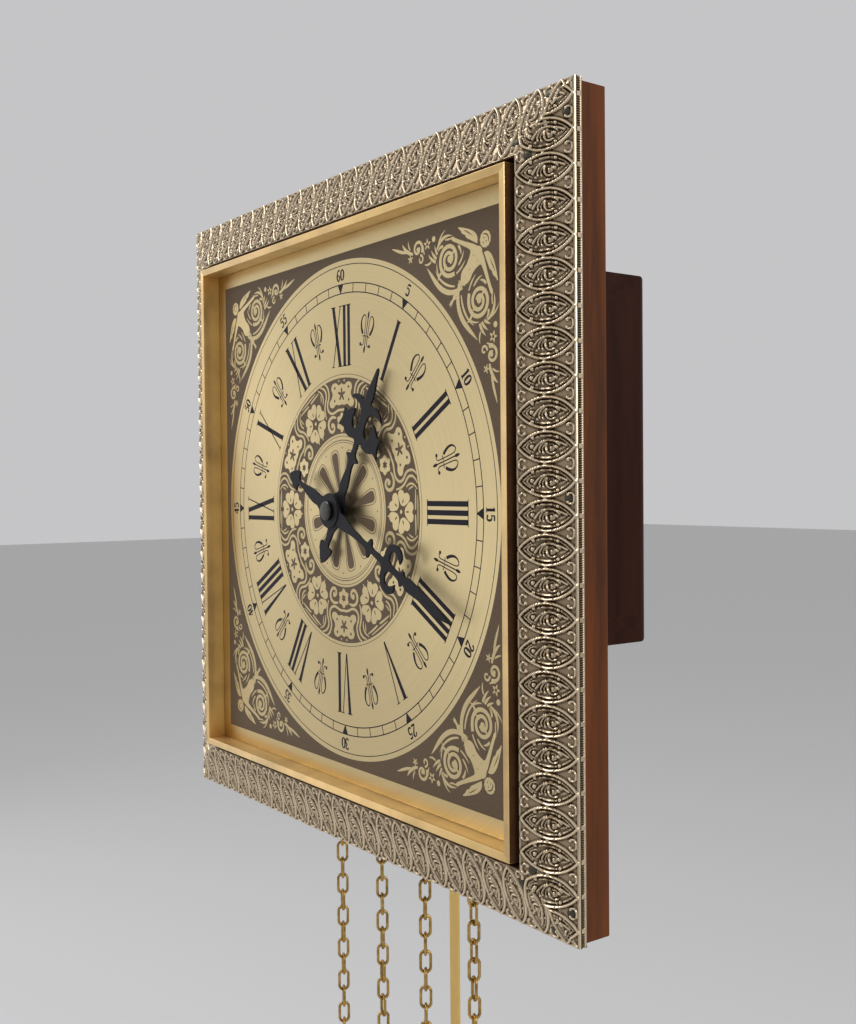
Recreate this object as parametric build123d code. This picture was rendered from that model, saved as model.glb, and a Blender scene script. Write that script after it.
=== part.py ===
from build123d import *
import os
from math import acos, cos, degrees, hypot, pi, radians, sin, sqrt, tan

# Wall clock: square dial in a stamped metal surround, chain-wound weights and a pendulum.
# Millimetres. X is to the right, Y towards the wall, Z up.
# The origin lies on the wall, straight behind the middle of the dial.

# Surround
fascia_side = 330.0           # across the stamped metal
fascia_width = 25.5           # outer edge to inner edge, seen from the front
fascia_cant = 8.0             # inner edge stands forward of the outer edge by this
fascia_metal = 0.6
fascia_return = 3.2           # metal folded back round the side
motif_count = 25              # almonds along one strip
motif_fill = 0.84             # almond width as a share of the pitch
motif_relief = 0.7
motif_end_gap = 1.2           # almond tip to the strip's edge
rail_inset = 1.1              # wooden side lies inside the metal's side by this
rail_depth = 16.9             # outer metal edge to the back of the rail
case_gap = 10.2               # side of the case to the lip behind the dial board
pin_head_r = 2.0
pin_head = 0.8
pin_r = 0.6
pin_length = 7.0
pin_inner_edge = 5.5          # row of pins to the strip's inner edge
pin_outer_edge = 3.7          # row of pins to the strip's outer edge
pin_fit = 0.05

# Dial and bezel
board_thickness = 12.0
board_fit = 0.15
edge_setback = 0.65           # outer metal edge lies behind the board's face by this
dial_thickness = 1.0
dial_fit = 0.1
dial_hole_r = 4.2
bezel_groove = 2.3            # inner metal edge to the bezel
bezel_wall = 3.5
bezel_height = 11.05
board_hole_r = 7.0

# Case behind the dial
case_depth = 73.65            # wall to the back of the dial board
case_width = 242.0
case_top_z = 104.4
case_bottom_z = -59.0
case_wall = 12.0
case_round = 5.5
cover_thickness = 6.0
slot_room = 2.5               # free space round what passes the case bottom
screw_r = 1.75
screw_head_r = 3.6
screw_head = 2.6
screw_length = 22.0
screw_recess = 0.3
screw_fit = 0.05
hanger_width = 62.0
hanger_height = 26.0
hanger_metal = 2.0
hanger_hole_r = 4.5
hanger_drop = 20.0            # case top to the hanger hole
hanger_room_r = 9.0           # room for the head of the wall screw

# Movement frame
plate_gap = 30.0              # between the two plates
plate_metal = 2.0
plate_half_width = 80.0
plate_bottom_z = -36.0
plate_top_z = 88.0
post_length = 10.65           # dial board to the front plate
post_r = 4.5
post_x = 61.0
pillar_r = 4.0
pillar_x = 73.0
pillar_margin = 7.0           # pillar to the plate's top and bottom edges
spigot_r = 2.0
nut_r = 4.0
nut_height = 3.0
peg_depth = 8.0               # post peg in the dial board
arbor_r = 1.5
pivot_r = 0.8
pivot_fit = 0.05
end_shake = 0.3

# Wheels: teeth, module and place
great_teeth = 108
leaf_teeth = 12
great_module = 0.66
centre_teeth = 96
centre_module = 0.6
third_teeth = 90
third_module = 0.4
escape_teeth = 45
escape_r = 16.0
cannon_teeth = 15
minute_wheel_teeth = 45
minute_leaf_teeth = 12
hour_teeth = 48
motion_module = 0.5
pin_wheel_teeth = 72
fly_teeth = 10
pin_wheel_module = 0.5
fly_bearing_deg = 150.0
wheel_metal = 1.6
leaf_length = 4.0
tooth_share = 0.36            # tooth width as a share of the pitch
tip_share = 0.17
wheel_rim = 3.2
spoke_width = 4.0
spoke_count = 4
layer_gap = 1.2
motion_gap = 3.4              # front plate to the front of the minute wheel

# Chains
link_wire = 1.25
link_width = 6.8
link_pitch = 8.96
link_play = 0.1
chain_wheel_links = 14        # links round a whole chain wheel
chain_x = 38.9                # chain wheel's centre from the middle of the clock
chain_setback = 8.0           # front plate's back to the chain's middle
weight_links = 37
free_links = 45
twist_deg = -36.0            # turn of the hanging links about the upright
twist_links = 6
ring_r = 7.0
ring_wire = 1.8
groove_fit = 0.4

# Weights
weight_r = 19.0
weight_length = 150.0
weight_cap = 5.0
weight_cap_proud = 0.8
weight_neck = 9.0
eye_r = 5.0
eye_wire = 1.6

# Pendulum and escapement
anchor_gap = 1.8
anchor_band = 2.4
anchor_span_deg = 50.0
anchor_lift = 6.2             # anchor arbor above the escape wheel's rim
swing_deg = 4.0
rod_width = 7.0
rod_metal = 1.3
rod_setback = 9.0             # back plate to the middle of the rod
rod_fit = 0.15
bob_drop = 452.0              # anchor arbor to the middle of the bob
bob_r = 45.0
bob_thickness = 16.0
bob_edge = 4.0
thread_r = 1.5
thread_length = 26.0
rating_r = 7.0
rating_height = 5.0
spring_metal = 0.2
spring_width = 6.0
spring_above = 3.0
spring_below = 11.0
spring_slit = 1.1
hanger_block = 10.0
cock_half_width = 26.0
cock_foot = 8.0
cock_metal = 2.0
cock_height = 16.0
crutch_drop = 55.0
crutch_metal = 2.0
crutch_width = 4.0
fork_prong = 2.0
fork_fit = 0.3

# Hands
minute_length = 107.0
minute_tail = 43.0
minute_angle = 116.0
hour_length = 75.5
hour_tail = 30.0
hour_angle = 29.3
hand_metal = 1.0
hour_hand_lift = 3.0          # hour hand above the dial
hand_gap = 2.9                # hour hand to the minute hand
hand_nut_r = 5.5
hand_nut_height = 3.0
hand_hub_r = 8.2              # round middle of both hands
hour_pipe_r = 3.5
cannon_pipe_r = 2.6
pipe_fit = 0.05

# Striking work
hammer_x = -76.0
hammer_z = 40.0
hammer_drop = 50.0
hammer_r = 5.6
hammer_length = 13.0
hammer_arm = 3.5
lift_pins = 8
lift_pin_r = 1.0
lift_pin_circle = 14.0
lift_clearance = 0.6
gong_gap = 1.6                # hammer face to the rods
gong_rod_r = 1.5
gong_rod_spacing = 6.0
gong_rod_gap = 8.4            # end of the rods to the case bottom
gong_block_height = 12.0
gong_seat = 7.0
fly_r = 11.0
fly_metal = 0.6

# Depth stations, from the wall forward
board_back = -case_depth
board_front = board_back - board_thickness
dial_front = board_front - dial_thickness
bezel_front = board_front - bezel_height
edge_y = board_front + edge_setback
rail_back = edge_y + rail_depth
cover_front = -cover_thickness
front_plate_back = board_back + post_length + plate_metal
front_plate_front = front_plate_back - plate_metal
back_plate_front = front_plate_back + plate_gap
back_plate_back = back_plate_front + plate_metal
chain_y = front_plate_back + chain_setback
pendulum_y = back_plate_back + rod_setback

# Half widths
fascia_half = fascia_side / 2
fascia_in = fascia_half - fascia_width
rail_half = fascia_half - rail_inset
rail_in = fascia_in - 2 * board_fit
bezel_half = fascia_in - bezel_groove
bezel_in = bezel_half - bezel_wall
case_half = case_width / 2
lip_half = case_half + case_gap
case_in = case_half - case_wall
case_in_top = case_top_z - case_wall
case_in_bottom = case_bottom_z + case_wall

# Places of the arbors in X and Z
chain_r = link_pitch / (2 * tan(pi / chain_wheel_links))
great_distance = (great_teeth + leaf_teeth) * great_module / 2
great_z = sqrt(great_distance ** 2 - chain_x ** 2)
going_place = (chain_x, great_z)
strike_place = (-chain_x, great_z)
centre_place = (0.0, 0.0)
third_place = (0.0, (centre_teeth + leaf_teeth) * centre_module / 2)
escape_place = (0.0, third_place[1] + (third_teeth + leaf_teeth) * third_module / 2)
anchor_place = (0.0, escape_place[1] + escape_r + anchor_lift)
motion_place = (0.0, -(cannon_teeth + minute_wheel_teeth) * motion_module / 2)
pin_wheel_place = (-chain_x, great_z + great_distance)
fly_distance = (pin_wheel_teeth + fly_teeth) * pin_wheel_module / 2
fly_place = (pin_wheel_place[0] + fly_distance * cos(radians(fly_bearing_deg)),
             pin_wheel_place[1] + fly_distance * sin(radians(fly_bearing_deg)))
hammer_place = (hammer_x, hammer_z)

# Wheel layers between the plates, each given by its front and back
strike_front = front_plate_back + end_shake + layer_gap / 2
strike_layer = (strike_front, strike_front + wheel_metal)
chain_half = link_width / 2 + groove_fit
great_layer = (chain_y + chain_half + 2 * layer_gap, chain_y + chain_half + 2 * layer_gap + wheel_metal)
centre_layer = (great_layer[1] + 2 * layer_gap, great_layer[1] + 2 * layer_gap + wheel_metal)
third_layer = (centre_layer[1] + 2 * layer_gap, centre_layer[1] + 2 * layer_gap + wheel_metal)
escape_layer = (third_layer[1] + 2 * layer_gap, third_layer[1] + 2 * layer_gap + wheel_metal)
motion_layer = (front_plate_front - motion_gap, front_plate_front - motion_gap + wheel_metal)
hour_layer = (motion_layer[0] - layer_gap - wheel_metal, motion_layer[0] - layer_gap)

parts = {}


def slab(sketch, front, back):
    """Extrude a sketch drawn in X and Z from one Y to another."""
    return extrude(Plane.XZ.offset(-back) * sketch, amount=back - front)


def rod_y(radius, front, back, place=(0.0, 0.0)):
    """Round bar along Y."""
    return slab(Pos(*place) * Circle(radius), front, back)


def block(x0, x1, y0, y1, z0, z1):
    """Plain block between two corners."""
    return Pos((x0 + x1) / 2, (y0 + y1) / 2, (z0 + z1) / 2) * Box(x1 - x0, y1 - y0, z1 - z0)


def turned_y(profile, place=(0.0, 0.0)):
    """Turn a closed outline of (radius, Y) points about an arbor along Y."""
    return Pos(place[0], 0, place[1]) * revolve(Polygon(*profile, align=None), Axis.Y)


def turned_z(profile, x, y):
    """Turn a closed outline of (radius, Z) points about an upright axis."""
    return Pos(x, y, 0) * revolve(Plane.XZ * Polygon(*profile, align=None), Axis.Z)


def lens(length, width, start=0.0):
    """Pointed almond along the sketch's Y, from start upwards."""
    right = ThreePointArc((0, start), (width / 2, start + length / 2), (0, start + length))
    left = ThreePointArc((0, start + length), (-width / 2, start + length / 2), (0, start))
    return make_face(right + left)


def place_polar(radius, bearing):
    """Point at a radius and a bearing in degrees from X."""
    return (radius * cos(radians(bearing)), radius * sin(radians(bearing)))


# Gear wheels

def gear_outline(teeth, module, phase):
    """Straight-flanked clock teeth, one centred on the phase bearing in degrees."""
    pitch_r = teeth * module / 2
    tip_r = pitch_r + 0.8 * module
    root_r = pitch_r - 1.25 * module
    step = 360.0 / teeth
    points = []
    for number in range(teeth):
        middle = phase + number * step
        wide = tooth_share * step * pitch_r / root_r * 0.62
        narrow = tip_share * step
        points.append(place_polar(root_r, middle - wide))
        points.append(place_polar(tip_r, middle - narrow / 2))
        points.append(place_polar(tip_r, middle + narrow / 2))
        points.append(place_polar(root_r, middle + wide))
    return Polygon(*points, align=None)


def crossings(rim_inner_r, hub_r):
    """Openings between the spokes of a wheel."""
    ring = Circle(rim_inner_r) - Circle(hub_r)
    for number in range(spoke_count):
        spoke = Pos(*place_polar(rim_inner_r / 2, 45 + 360 * number / spoke_count))
        ring -= spoke * Rot(0, 0, 45 + 360 * number / spoke_count) * Rectangle(rim_inner_r + hub_r, spoke_width)
    return ring


def crossed_wheel(teeth, module, phase, layer, place):
    """Spoked wheel with a hub."""
    root_r = teeth * module / 2 - 1.25 * module
    hub_r = 2.6 * arbor_r
    face = gear_outline(teeth, module, phase) - crossings(root_r - wheel_rim, hub_r)
    return slab(Pos(*place) * face, *layer)


def mesh_phase(other_phase, other_teeth, teeth, bearing):
    """Phase that puts a gap where the other wheel has a tooth, seen along the bearing from the other."""
    other_step = 360.0 / other_teeth
    step = 360.0 / teeth
    share = ((bearing - other_phase) / other_step) % 1.0
    return bearing + 180.0 - step * (0.5 - share)


def bearing_between(start, end):
    """Bearing in degrees from one place to another."""
    across = end[0] - start[0]
    up = end[1] - start[1]
    angle = degrees(acos(across / hypot(across, up)))
    return angle if up >= 0 else -angle


def arbor(place, front_pivot=True, back_pivot=True):
    """Arbor between the plates with a pivot at each end."""
    body = rod_y(arbor_r, front_plate_back + end_shake, back_plate_front - end_shake, place)
    if front_pivot:
        body += rod_y(pivot_r, front_plate_front + pivot_fit, front_plate_back + end_shake, place)
    if back_pivot:
        body += rod_y(pivot_r, back_plate_front - end_shake, back_plate_back - pivot_fit, place)
    return body


def leaves(teeth, module, phase, layer, place):
    """Pinion leaves standing past both faces of the wheel layer they run in."""
    middle = (layer[0] + layer[1]) / 2
    return slab(Pos(*place) * gear_outline(teeth, module, phase), middle - leaf_length / 2, middle + leaf_length / 2)


# Chain links

def chain_link():
    """One oval link in the plane of X and Z, long along Z."""
    bend_r = (link_width - link_wire) / 2
    apart = link_pitch + link_play + link_wire - 2 * bend_r
    path = (Plane.XZ * Rot(0, 0, 90) * SlotCenterToCenter(apart, 2 * bend_r)).face().outer_wire()
    section = Plane(origin=path @ 0, z_dir=path % 0) * Circle(link_wire / 2)
    return sweep(section, path=path)


def wrap_links(link, place):
    """Links lying on the upper half of a chain wheel, between the two upright strands."""
    step = 360.0 / chain_wheel_links
    links = []
    for number in range(1, chain_wheel_links // 2):
        bearing = number * step
        across, up = place_polar(chain_r, bearing)
        spot = Pos(place[0] + across, chain_y, place[1] + up)
        links.append(spot * Rot(0, -bearing, 0) * Rot(0, 0, 90 * (number % 2)) * link)
    return links


def link_turn(number, start):
    """Turn of a hanging link about the upright: every second link stands across."""
    return 90 * ((number + start) % 2) + twist_deg * min(1.0, number / twist_links)


def strand_links(link, x, count, start):
    """Hanging links, counted down from the height of the chain wheel's arbor."""
    return [Pos(x, chain_y, great_z - number * link_pitch) * Rot(0, 0, link_turn(number, start)) * link
            for number in range(count)]


def hung_ring(x, count, start, radius, wire):
    """Ring through the last link of a strand."""
    last_z = great_z - (count - 1) * link_pitch
    middle_z = last_z - (link_pitch + link_play) / 2 + wire / 2 + link_play / 2 - radius
    turn = link_turn(count - 1, start) + 90
    return Pos(x, chain_y, middle_z) * Rot(0, 0, turn) * Rot(90, 0, 0) * Torus(radius, wire / 2), middle_z


# Surround: mitred strips along the four sides

cant_slope = fascia_cant / (fascia_half - fascia_in)
metal_drop = fascia_metal * sqrt(1 + cant_slope ** 2)
motif_pitch = fascia_side / motif_count
side_turn = {"top": 0, "right": 90, "bottom": 180, "left": 270}


def fascia_y(height):
    """Face of the canted metal at a distance from the middle of the clock."""
    return edge_y - (fascia_half - height) * cant_slope


def fascia_plane(along, height):
    """Plane on the metal of the top strip, facing out."""
    return Plane(origin=(along, fascia_y(height), height), x_dir=(1, 0, 0), z_dir=(0, -1, cant_slope))


def mitred(section):
    """Bar along the top with a section of (Y, height) points, cut on both diagonals."""
    bar = extrude(Plane.YZ * Polygon(*section, align=None), amount=fascia_side, both=True)
    reach = fascia_side
    return bar & slab(Polygon((0, 0), (reach, reach), (-reach, reach), align=None), bezel_front - reach, reach)


def pin_places():
    """Pins of one strip: two by the inner corners, two by the outer ones and one near the middle."""
    inner = (motif_count - 4) / 2 * motif_pitch
    outer = (motif_count - 2) / 2 * motif_pitch
    low = fascia_in + pin_inner_edge
    high = fascia_half - pin_outer_edge
    return [(-inner, low), (inner, low), (-outer, high), (outer, high), (-motif_pitch / 2, high)]


def pin_holes():
    """Drilled holes under the pins of the top strip."""
    depth = pin_length + pin_fit
    return [fascia_plane(*spot) * Pos(0, 0, -depth / 2) * Cylinder(pin_r + pin_fit, depth) for spot in pin_places()]


def fascia_strip():
    """Stamped strip: canted face, folded side and a row of raised almonds."""
    under = fascia_half - fascia_metal
    strip = mitred([
        (fascia_y(fascia_in), fascia_in),
        (edge_y, fascia_half),
        (edge_y + fascia_return, fascia_half),
        (edge_y + fascia_return, under),
        (fascia_y(under) + metal_drop, under),
        (fascia_y(fascia_in) + metal_drop, fascia_in),
    ])
    middle = (fascia_half + fascia_in) / 2
    length = hypot(fascia_half - fascia_in, fascia_cant) - 2 * motif_end_gap
    sunk = fascia_metal / 2
    almond = Pos(0, -length / 2, -sunk) * extrude(lens(length, motif_fill * motif_pitch), motif_relief + sunk)
    row = []
    for number in range(motif_count):
        along = (number - (motif_count - 1) / 2) * motif_pitch
        if abs(along) < fascia_in:
            row.append(fascia_plane(along, middle) * almond)
    reach = fascia_side
    wedge = slab(Polygon((0, 0), (reach, reach), (-reach, reach), align=None), bezel_front - reach, reach)
    return ((strip + row) & wedge) - pin_holes()


def wooden_rail():
    """Rail under a strip, with a lip behind the dial board."""
    rail = mitred([
        (rail_back, rail_half),
        (rail_back, lip_half),
        (board_back, lip_half),
        (board_back, rail_in),
        (fascia_y(rail_in) + metal_drop, rail_in),
        (fascia_y(rail_half) + metal_drop, rail_half),
    ])
    return rail - pin_holes()


def bezel_strip():
    """Slip standing on the dial board round the dial."""
    return mitred([
        (bezel_front, bezel_in),
        (bezel_front, bezel_half),
        (board_front, bezel_half),
        (board_front, bezel_in),
    ])


def surround_pins():
    """Round-headed pins of the top strip."""
    pins = []
    for spot in pin_places():
        head = Pos(0, 0, pin_head / 2) * Cylinder(pin_head_r, pin_head)
        shank = Pos(0, 0, -pin_length / 2) * Cylinder(pin_r, pin_length)
        pins.append(fascia_plane(*spot) * (head + shank))
    return pins


rail = wooden_rail()
strip = fascia_strip()
slip = bezel_strip()
pins = surround_pins()
for side, turn in side_turn.items():
    parts["rail_" + side] = Rot(0, turn, 0) * rail
    parts["fascia_" + side] = Rot(0, turn, 0) * strip
    parts["bezel_" + side] = Rot(0, turn, 0) * slip
parts["fascia_pins"] = [Rot(0, turn, 0) * pin for turn in side_turn.values() for pin in pins]

# Dial and its board

post_places = [(side * post_x, height) for side in (-1, 1)
               for height in (plate_bottom_z + pillar_margin, plate_top_z - pillar_margin)]
pillar_places = [(side * pillar_x, height) for side in (-1, 1)
                 for height in (plate_bottom_z + pillar_margin, plate_top_z - pillar_margin)]

board_side = 2 * (rail_in - board_fit)
board = slab(Rectangle(board_side, board_side) - Circle(board_hole_r), board_front, board_back)
for spot in post_places:
    board -= rod_y(spigot_r + pivot_fit, board_back - peg_depth - pivot_fit, board_back, spot)
parts["dial_board"] = board

dial_side = 2 * (bezel_in - dial_fit)
parts["dial_plate"] = slab(Rectangle(dial_side, dial_side) - Circle(dial_hole_r), dial_front, board_front)

# Case walls, rear cover and hanger

strand_x = [chain_x + chain_r, chain_x - chain_r, chain_r - chain_x, -chain_x - chain_r]
case_middle_z = (case_in_top + case_in_bottom) / 2
case_screw_x = case_half - case_round - screw_head_r - 2 * screw_recess
case_screw_z = [case_in_top - case_wall, case_middle_z, case_in_bottom + case_wall]
hanger_z = case_top_z - hanger_drop
hanger_screw_x = hanger_width / 2 - 2 * screw_head_r
hanger_screw_length = cover_thickness - 1.0


def cover_screw(length):
    """Countersunk wood screw along Y, its head just under the wall face."""
    return turned_y([
        (0, -length),
        (screw_r, -length),
        (screw_r, -screw_recess - screw_head),
        (screw_head_r, -screw_recess),
        (0, -screw_recess),
    ])


def screw_hole(length):
    """Hole that a cover screw sits in."""
    return turned_y([
        (0, -length - screw_fit),
        (screw_r + screw_fit, -length - screw_fit),
        (screw_r + screw_fit, -screw_recess - screw_head),
        (screw_head_r + screw_fit, -screw_recess),
        (screw_head_r + screw_fit, 0),
        (0, 0),
    ])


wall_screws = [(side * case_screw_x, height) for side in (-1, 1) for height in case_screw_z]
hanger_screws = [(side * hanger_screw_x, hanger_z) for side in (-1, 1)]
wall_holes = [Pos(x, 0, z) * screw_hole(screw_length) for x, z in wall_screws]
hanger_holes = [Pos(x, 0, z) * screw_hole(hanger_screw_length) for x, z in hanger_screws]

bottom_wall = block(-case_half, case_half, board_back, cover_front, case_bottom_z, case_in_bottom)
reach = link_width / 2 + slot_room
for x in strand_x:
    bottom_wall -= block(x - reach, x + reach, chain_y - reach, chain_y + reach, case_bottom_z, case_in_bottom)
swing_reach = rod_width / 2 + slot_room + (anchor_place[1] - case_bottom_z) * tan(radians(swing_deg))
swing_depth = rod_metal / 2 + slot_room
bottom_wall -= block(-swing_reach, swing_reach, pendulum_y - swing_depth, pendulum_y + swing_depth,
                     case_bottom_z, case_in_bottom)
parts["case_bottom"] = bottom_wall
parts["case_top"] = block(-case_half, case_half, board_back, cover_front, case_in_top, case_top_z)
parts["case_left"] = block(-case_half, -case_in, board_back, cover_front, case_in_bottom, case_in_top) - wall_holes
parts["case_right"] = block(case_in, case_half, board_back, cover_front, case_in_bottom, case_in_top) - wall_holes

cover = block(-case_half, case_half, cover_front, 0, case_bottom_z, case_top_z)
cover = fillet(cover.faces().sort_by(Axis.Y)[-1].edges(), min(case_round, 0.95 * cover_thickness))
cover -= wall_holes + hanger_holes
cover -= block(-hanger_width / 2 - screw_fit, hanger_width / 2 + screw_fit, -hanger_metal, 0,
               hanger_z - hanger_height / 2 - screw_fit, hanger_z + hanger_height / 2 + screw_fit)
cover -= rod_y(hanger_room_r, cover_front, 0, (0, hanger_z))
parts["rear_cover"] = cover

hanger = block(-hanger_width / 2, hanger_width / 2, -hanger_metal, 0,
               hanger_z - hanger_height / 2, hanger_z + hanger_height / 2)
parts["hanger_plate"] = hanger - hanger_holes - rod_y(hanger_hole_r, -hanger_metal, 0, (0, hanger_z))
parts["cover_screws"] = ([Pos(x, 0, z) * cover_screw(screw_length) for x, z in wall_screws]
                         + [Pos(x, 0, z) * cover_screw(hanger_screw_length) for x, z in hanger_screws])

# Movement plates, pillars and posts

pivot_places = [going_place, strike_place, third_place, escape_place, pin_wheel_place, fly_place, hammer_place]
plate_outline = Pos(0, (plate_top_z + plate_bottom_z) / 2) * Rectangle(2 * plate_half_width,
                                                                         plate_top_z - plate_bottom_z)
pivot_holes = [Pos(*spot) * Circle(pivot_r + pivot_fit) for spot in pivot_places]
spigot_holes = [Pos(*spot) * Circle(spigot_r + pivot_fit) for spot in pillar_places]
post_holes = [Pos(*spot) * Circle(spigot_r + pivot_fit) for spot in post_places]
stud_r = 1.0

front_plate = plate_outline - pivot_holes - spigot_holes - post_holes
front_plate -= [Circle(arbor_r + pivot_fit), Pos(*anchor_place) * Circle(pivot_r + pivot_fit)]
stud = rod_y(stud_r, hour_layer[0] - layer_gap, front_plate_front, motion_place)
parts["front_plate"] = slab(front_plate, front_plate_front, front_plate_back) + stud

cock_screw_x = cock_half_width - cock_foot / 2
anchor_room = arbor_r + 2.0
back_plate = plate_outline - pivot_holes - spigot_holes
back_plate -= [Circle(pivot_r + pivot_fit), Pos(*anchor_place) * Circle(anchor_room)]
back_plate -= [Pos(side * cock_screw_x, anchor_place[1]) * Circle(spigot_r + pivot_fit) for side in (-1, 1)]
parts["back_plate"] = slab(back_plate, back_plate_front, back_plate_back)


def nut(front, spot):
    """Six-sided nut on a spigot."""
    return slab(Pos(*spot) * (RegularPolygon(nut_r, 6) - Circle(spigot_r + pivot_fit)), front, front + nut_height)


pillars = []
for spot in pillar_places:
    pillars.append(rod_y(pillar_r, front_plate_back, back_plate_front, spot)
                   + rod_y(spigot_r, front_plate_front, front_plate_back, spot)
                   + rod_y(0.7 * pillar_r, front_plate_front - 0.5 * spigot_r, front_plate_front, spot)
                   + rod_y(spigot_r, back_plate_front, back_plate_back + nut_height, spot))
    pillars.append(nut(back_plate_back, spot))
parts["plate_pillars"] = pillars

posts = []
for spot in post_places:
    posts.append(rod_y(post_r, board_back, front_plate_front, spot)
                 + rod_y(spigot_r, board_back - peg_depth, board_back, spot)
                 + rod_y(spigot_r, front_plate_front, front_plate_back + nut_height, spot))
    posts.append(nut(front_plate_back, spot))
parts["movement_posts"] = posts

# Going train: great wheel, centre wheel, third wheel, escape wheel

going_phase = 0.0
centre_leaf_phase = mesh_phase(going_phase, great_teeth, leaf_teeth, bearing_between(going_place, centre_place))
third_leaf_phase = mesh_phase(0.0, centre_teeth, leaf_teeth, bearing_between(centre_place, third_place))
escape_leaf_phase = mesh_phase(0.0, third_teeth, leaf_teeth, bearing_between(third_place, escape_place))

parts["going_great_wheel"] = (crossed_wheel(great_teeth, great_module, going_phase, great_layer, going_place)
                              + arbor(going_place))

hour_back = dial_front - hour_hand_lift
hour_front = hour_back - hand_metal
minute_back = hour_front - hand_gap
minute_front = minute_back - hand_metal
arbor_front = minute_front - 0.6 * hand_nut_height
parts["centre_wheel"] = (crossed_wheel(centre_teeth, centre_module, 0.0, centre_layer, centre_place)
                         + leaves(leaf_teeth, great_module, centre_leaf_phase, great_layer, centre_place)
                         + arbor(centre_place, front_pivot=False)
                         + rod_y(arbor_r, arbor_front, front_plate_back + end_shake))
parts["third_wheel"] = (crossed_wheel(third_teeth, third_module, 0.0, third_layer, third_place)
                        + leaves(leaf_teeth, centre_module, third_leaf_phase, centre_layer, third_place)
                        + arbor(third_place))


def escape_outline():
    """Saw teeth of the escape wheel, leaning the way it turns."""
    step = 360.0 / escape_teeth
    root_r = 0.86 * escape_r
    points = []
    for number in range(escape_teeth):
        points.append(place_polar(root_r, number * step))
        points.append(place_polar(escape_r, (number + 0.02) * step))
        points.append(place_polar(escape_r, (number + 0.1) * step))
        points.append(place_polar(root_r, (number + 0.3) * step))
    return Polygon(*points, align=None) - crossings(root_r - wheel_rim, 2.6 * arbor_r)


parts["escape_wheel"] = (slab(Pos(*escape_place) * escape_outline(), *escape_layer)
                         + leaves(leaf_teeth, third_module, escape_leaf_phase, third_layer, escape_place)
                         + arbor(escape_place))

# Motion work behind the dial

motion_phase = mesh_phase(0.0, cannon_teeth, minute_wheel_teeth, bearing_between(centre_place, motion_place))
hour_phase = mesh_phase(0.0, minute_leaf_teeth, hour_teeth, bearing_between(motion_place, centre_place))
cannon_bore = Circle(arbor_r + pipe_fit)
cannon = slab(gear_outline(cannon_teeth, motion_module, 0.0) - cannon_bore, *motion_layer)
parts["cannon_pinion"] = cannon + slab(Circle(cannon_pipe_r) - cannon_bore, minute_front, front_plate_front - pipe_fit)

hour_bore = Circle(cannon_pipe_r + pipe_fit)
parts["hour_wheel"] = (slab(gear_outline(hour_teeth, motion_module, hour_phase) - hour_bore, *hour_layer)
                       + slab(Circle(hour_pipe_r) - hour_bore, hour_front, hour_layer[1]))

stud_bore = Circle(stud_r + pipe_fit)
parts["minute_wheel"] = (
    slab(Pos(*motion_place) * (gear_outline(minute_wheel_teeth, motion_module, motion_phase) - stud_bore), *motion_layer)
    + slab(Pos(*motion_place) * (gear_outline(minute_leaf_teeth, motion_module, 0.0) - stud_bore),
           hour_layer[0], motion_layer[0]))

# Hands, drawn pointing up


def cross_nub(height, width):
    """Small cross bar with rounded ends."""
    return Pos(0, height) * SlotOverall(width, width / 3.2)


def curl(side, height, radius, wire):
    """Ring that grows out of the stem, open above it, with a ball on its free end."""
    ring = Circle(radius) - Circle(radius - wire)
    ring -= Pos(-side * radius, 0.6 * radius) * Rectangle(2 * radius, 1.2 * radius)
    ball = Pos(0, radius - wire / 2) * Circle(0.6 * wire)
    return Pos(0.8 * side * radius, height) * (ring + ball)


def spade_tail(length, stem):
    """Tail with an arrow-shaped end, pointing down."""
    head = 0.26 * length
    neck = 0.15 * stem
    shape = Pos(0, -length) * lens(head, 0.8 * head)
    shape += Polygon((-stem / 2, 0), (-neck, head - length), (neck, head - length), (stem / 2, 0), align=None)
    return shape + cross_nub(head - length, 0.95 * head)


def minute_outline():
    """Long hand: tapered stem, two opposed curls and a lance."""
    span = minute_length
    shape = Circle(hand_hub_r) + lens(0.43 * span, 0.085 * span, -0.07 * span)
    shape += cross_nub(0.345 * span, 0.085 * span)
    shape += Pos(0, 0.49 * span) * Rectangle(0.024 * span, 0.3 * span)
    for side in (-1, 1):
        shape += curl(side, 0.52 * span, 0.06 * span, 0.031 * span)
    shape += cross_nub(0.63 * span, 0.066 * span)
    shape += lens(0.39 * span, 0.068 * span, 0.61 * span)
    return shape + spade_tail(minute_tail, 0.075 * span)


def hour_outline():
    """Short hand: tapered stem, a leafy flower and a lance."""
    span = hour_length
    shape = Circle(hand_hub_r) + lens(0.47 * span, 0.125 * span, -0.07 * span)
    shape += cross_nub(0.385 * span, 0.125 * span)
    shape += Pos(0, 0.55 * span) * Rectangle(0.05 * span, 0.36 * span)
    for side in (-1, 1):
        for start, turn in ((0.49, 83), (0.5, 64)):
            shape += Pos(0, start * span) * Rot(0, 0, -turn * side) * lens(0.26 * span, 0.1 * span)
        shape += curl(side, 0.62 * span, 0.068 * span, 0.036 * span)
        shape += Pos(0, 0.69 * span) * Rot(0, 0, -70 * side) * lens(0.19 * span, 0.05 * span)
    return shape + lens(0.33 * span, 0.088 * span, 0.67 * span) + spade_tail(hour_tail, 0.11 * span)


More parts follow.
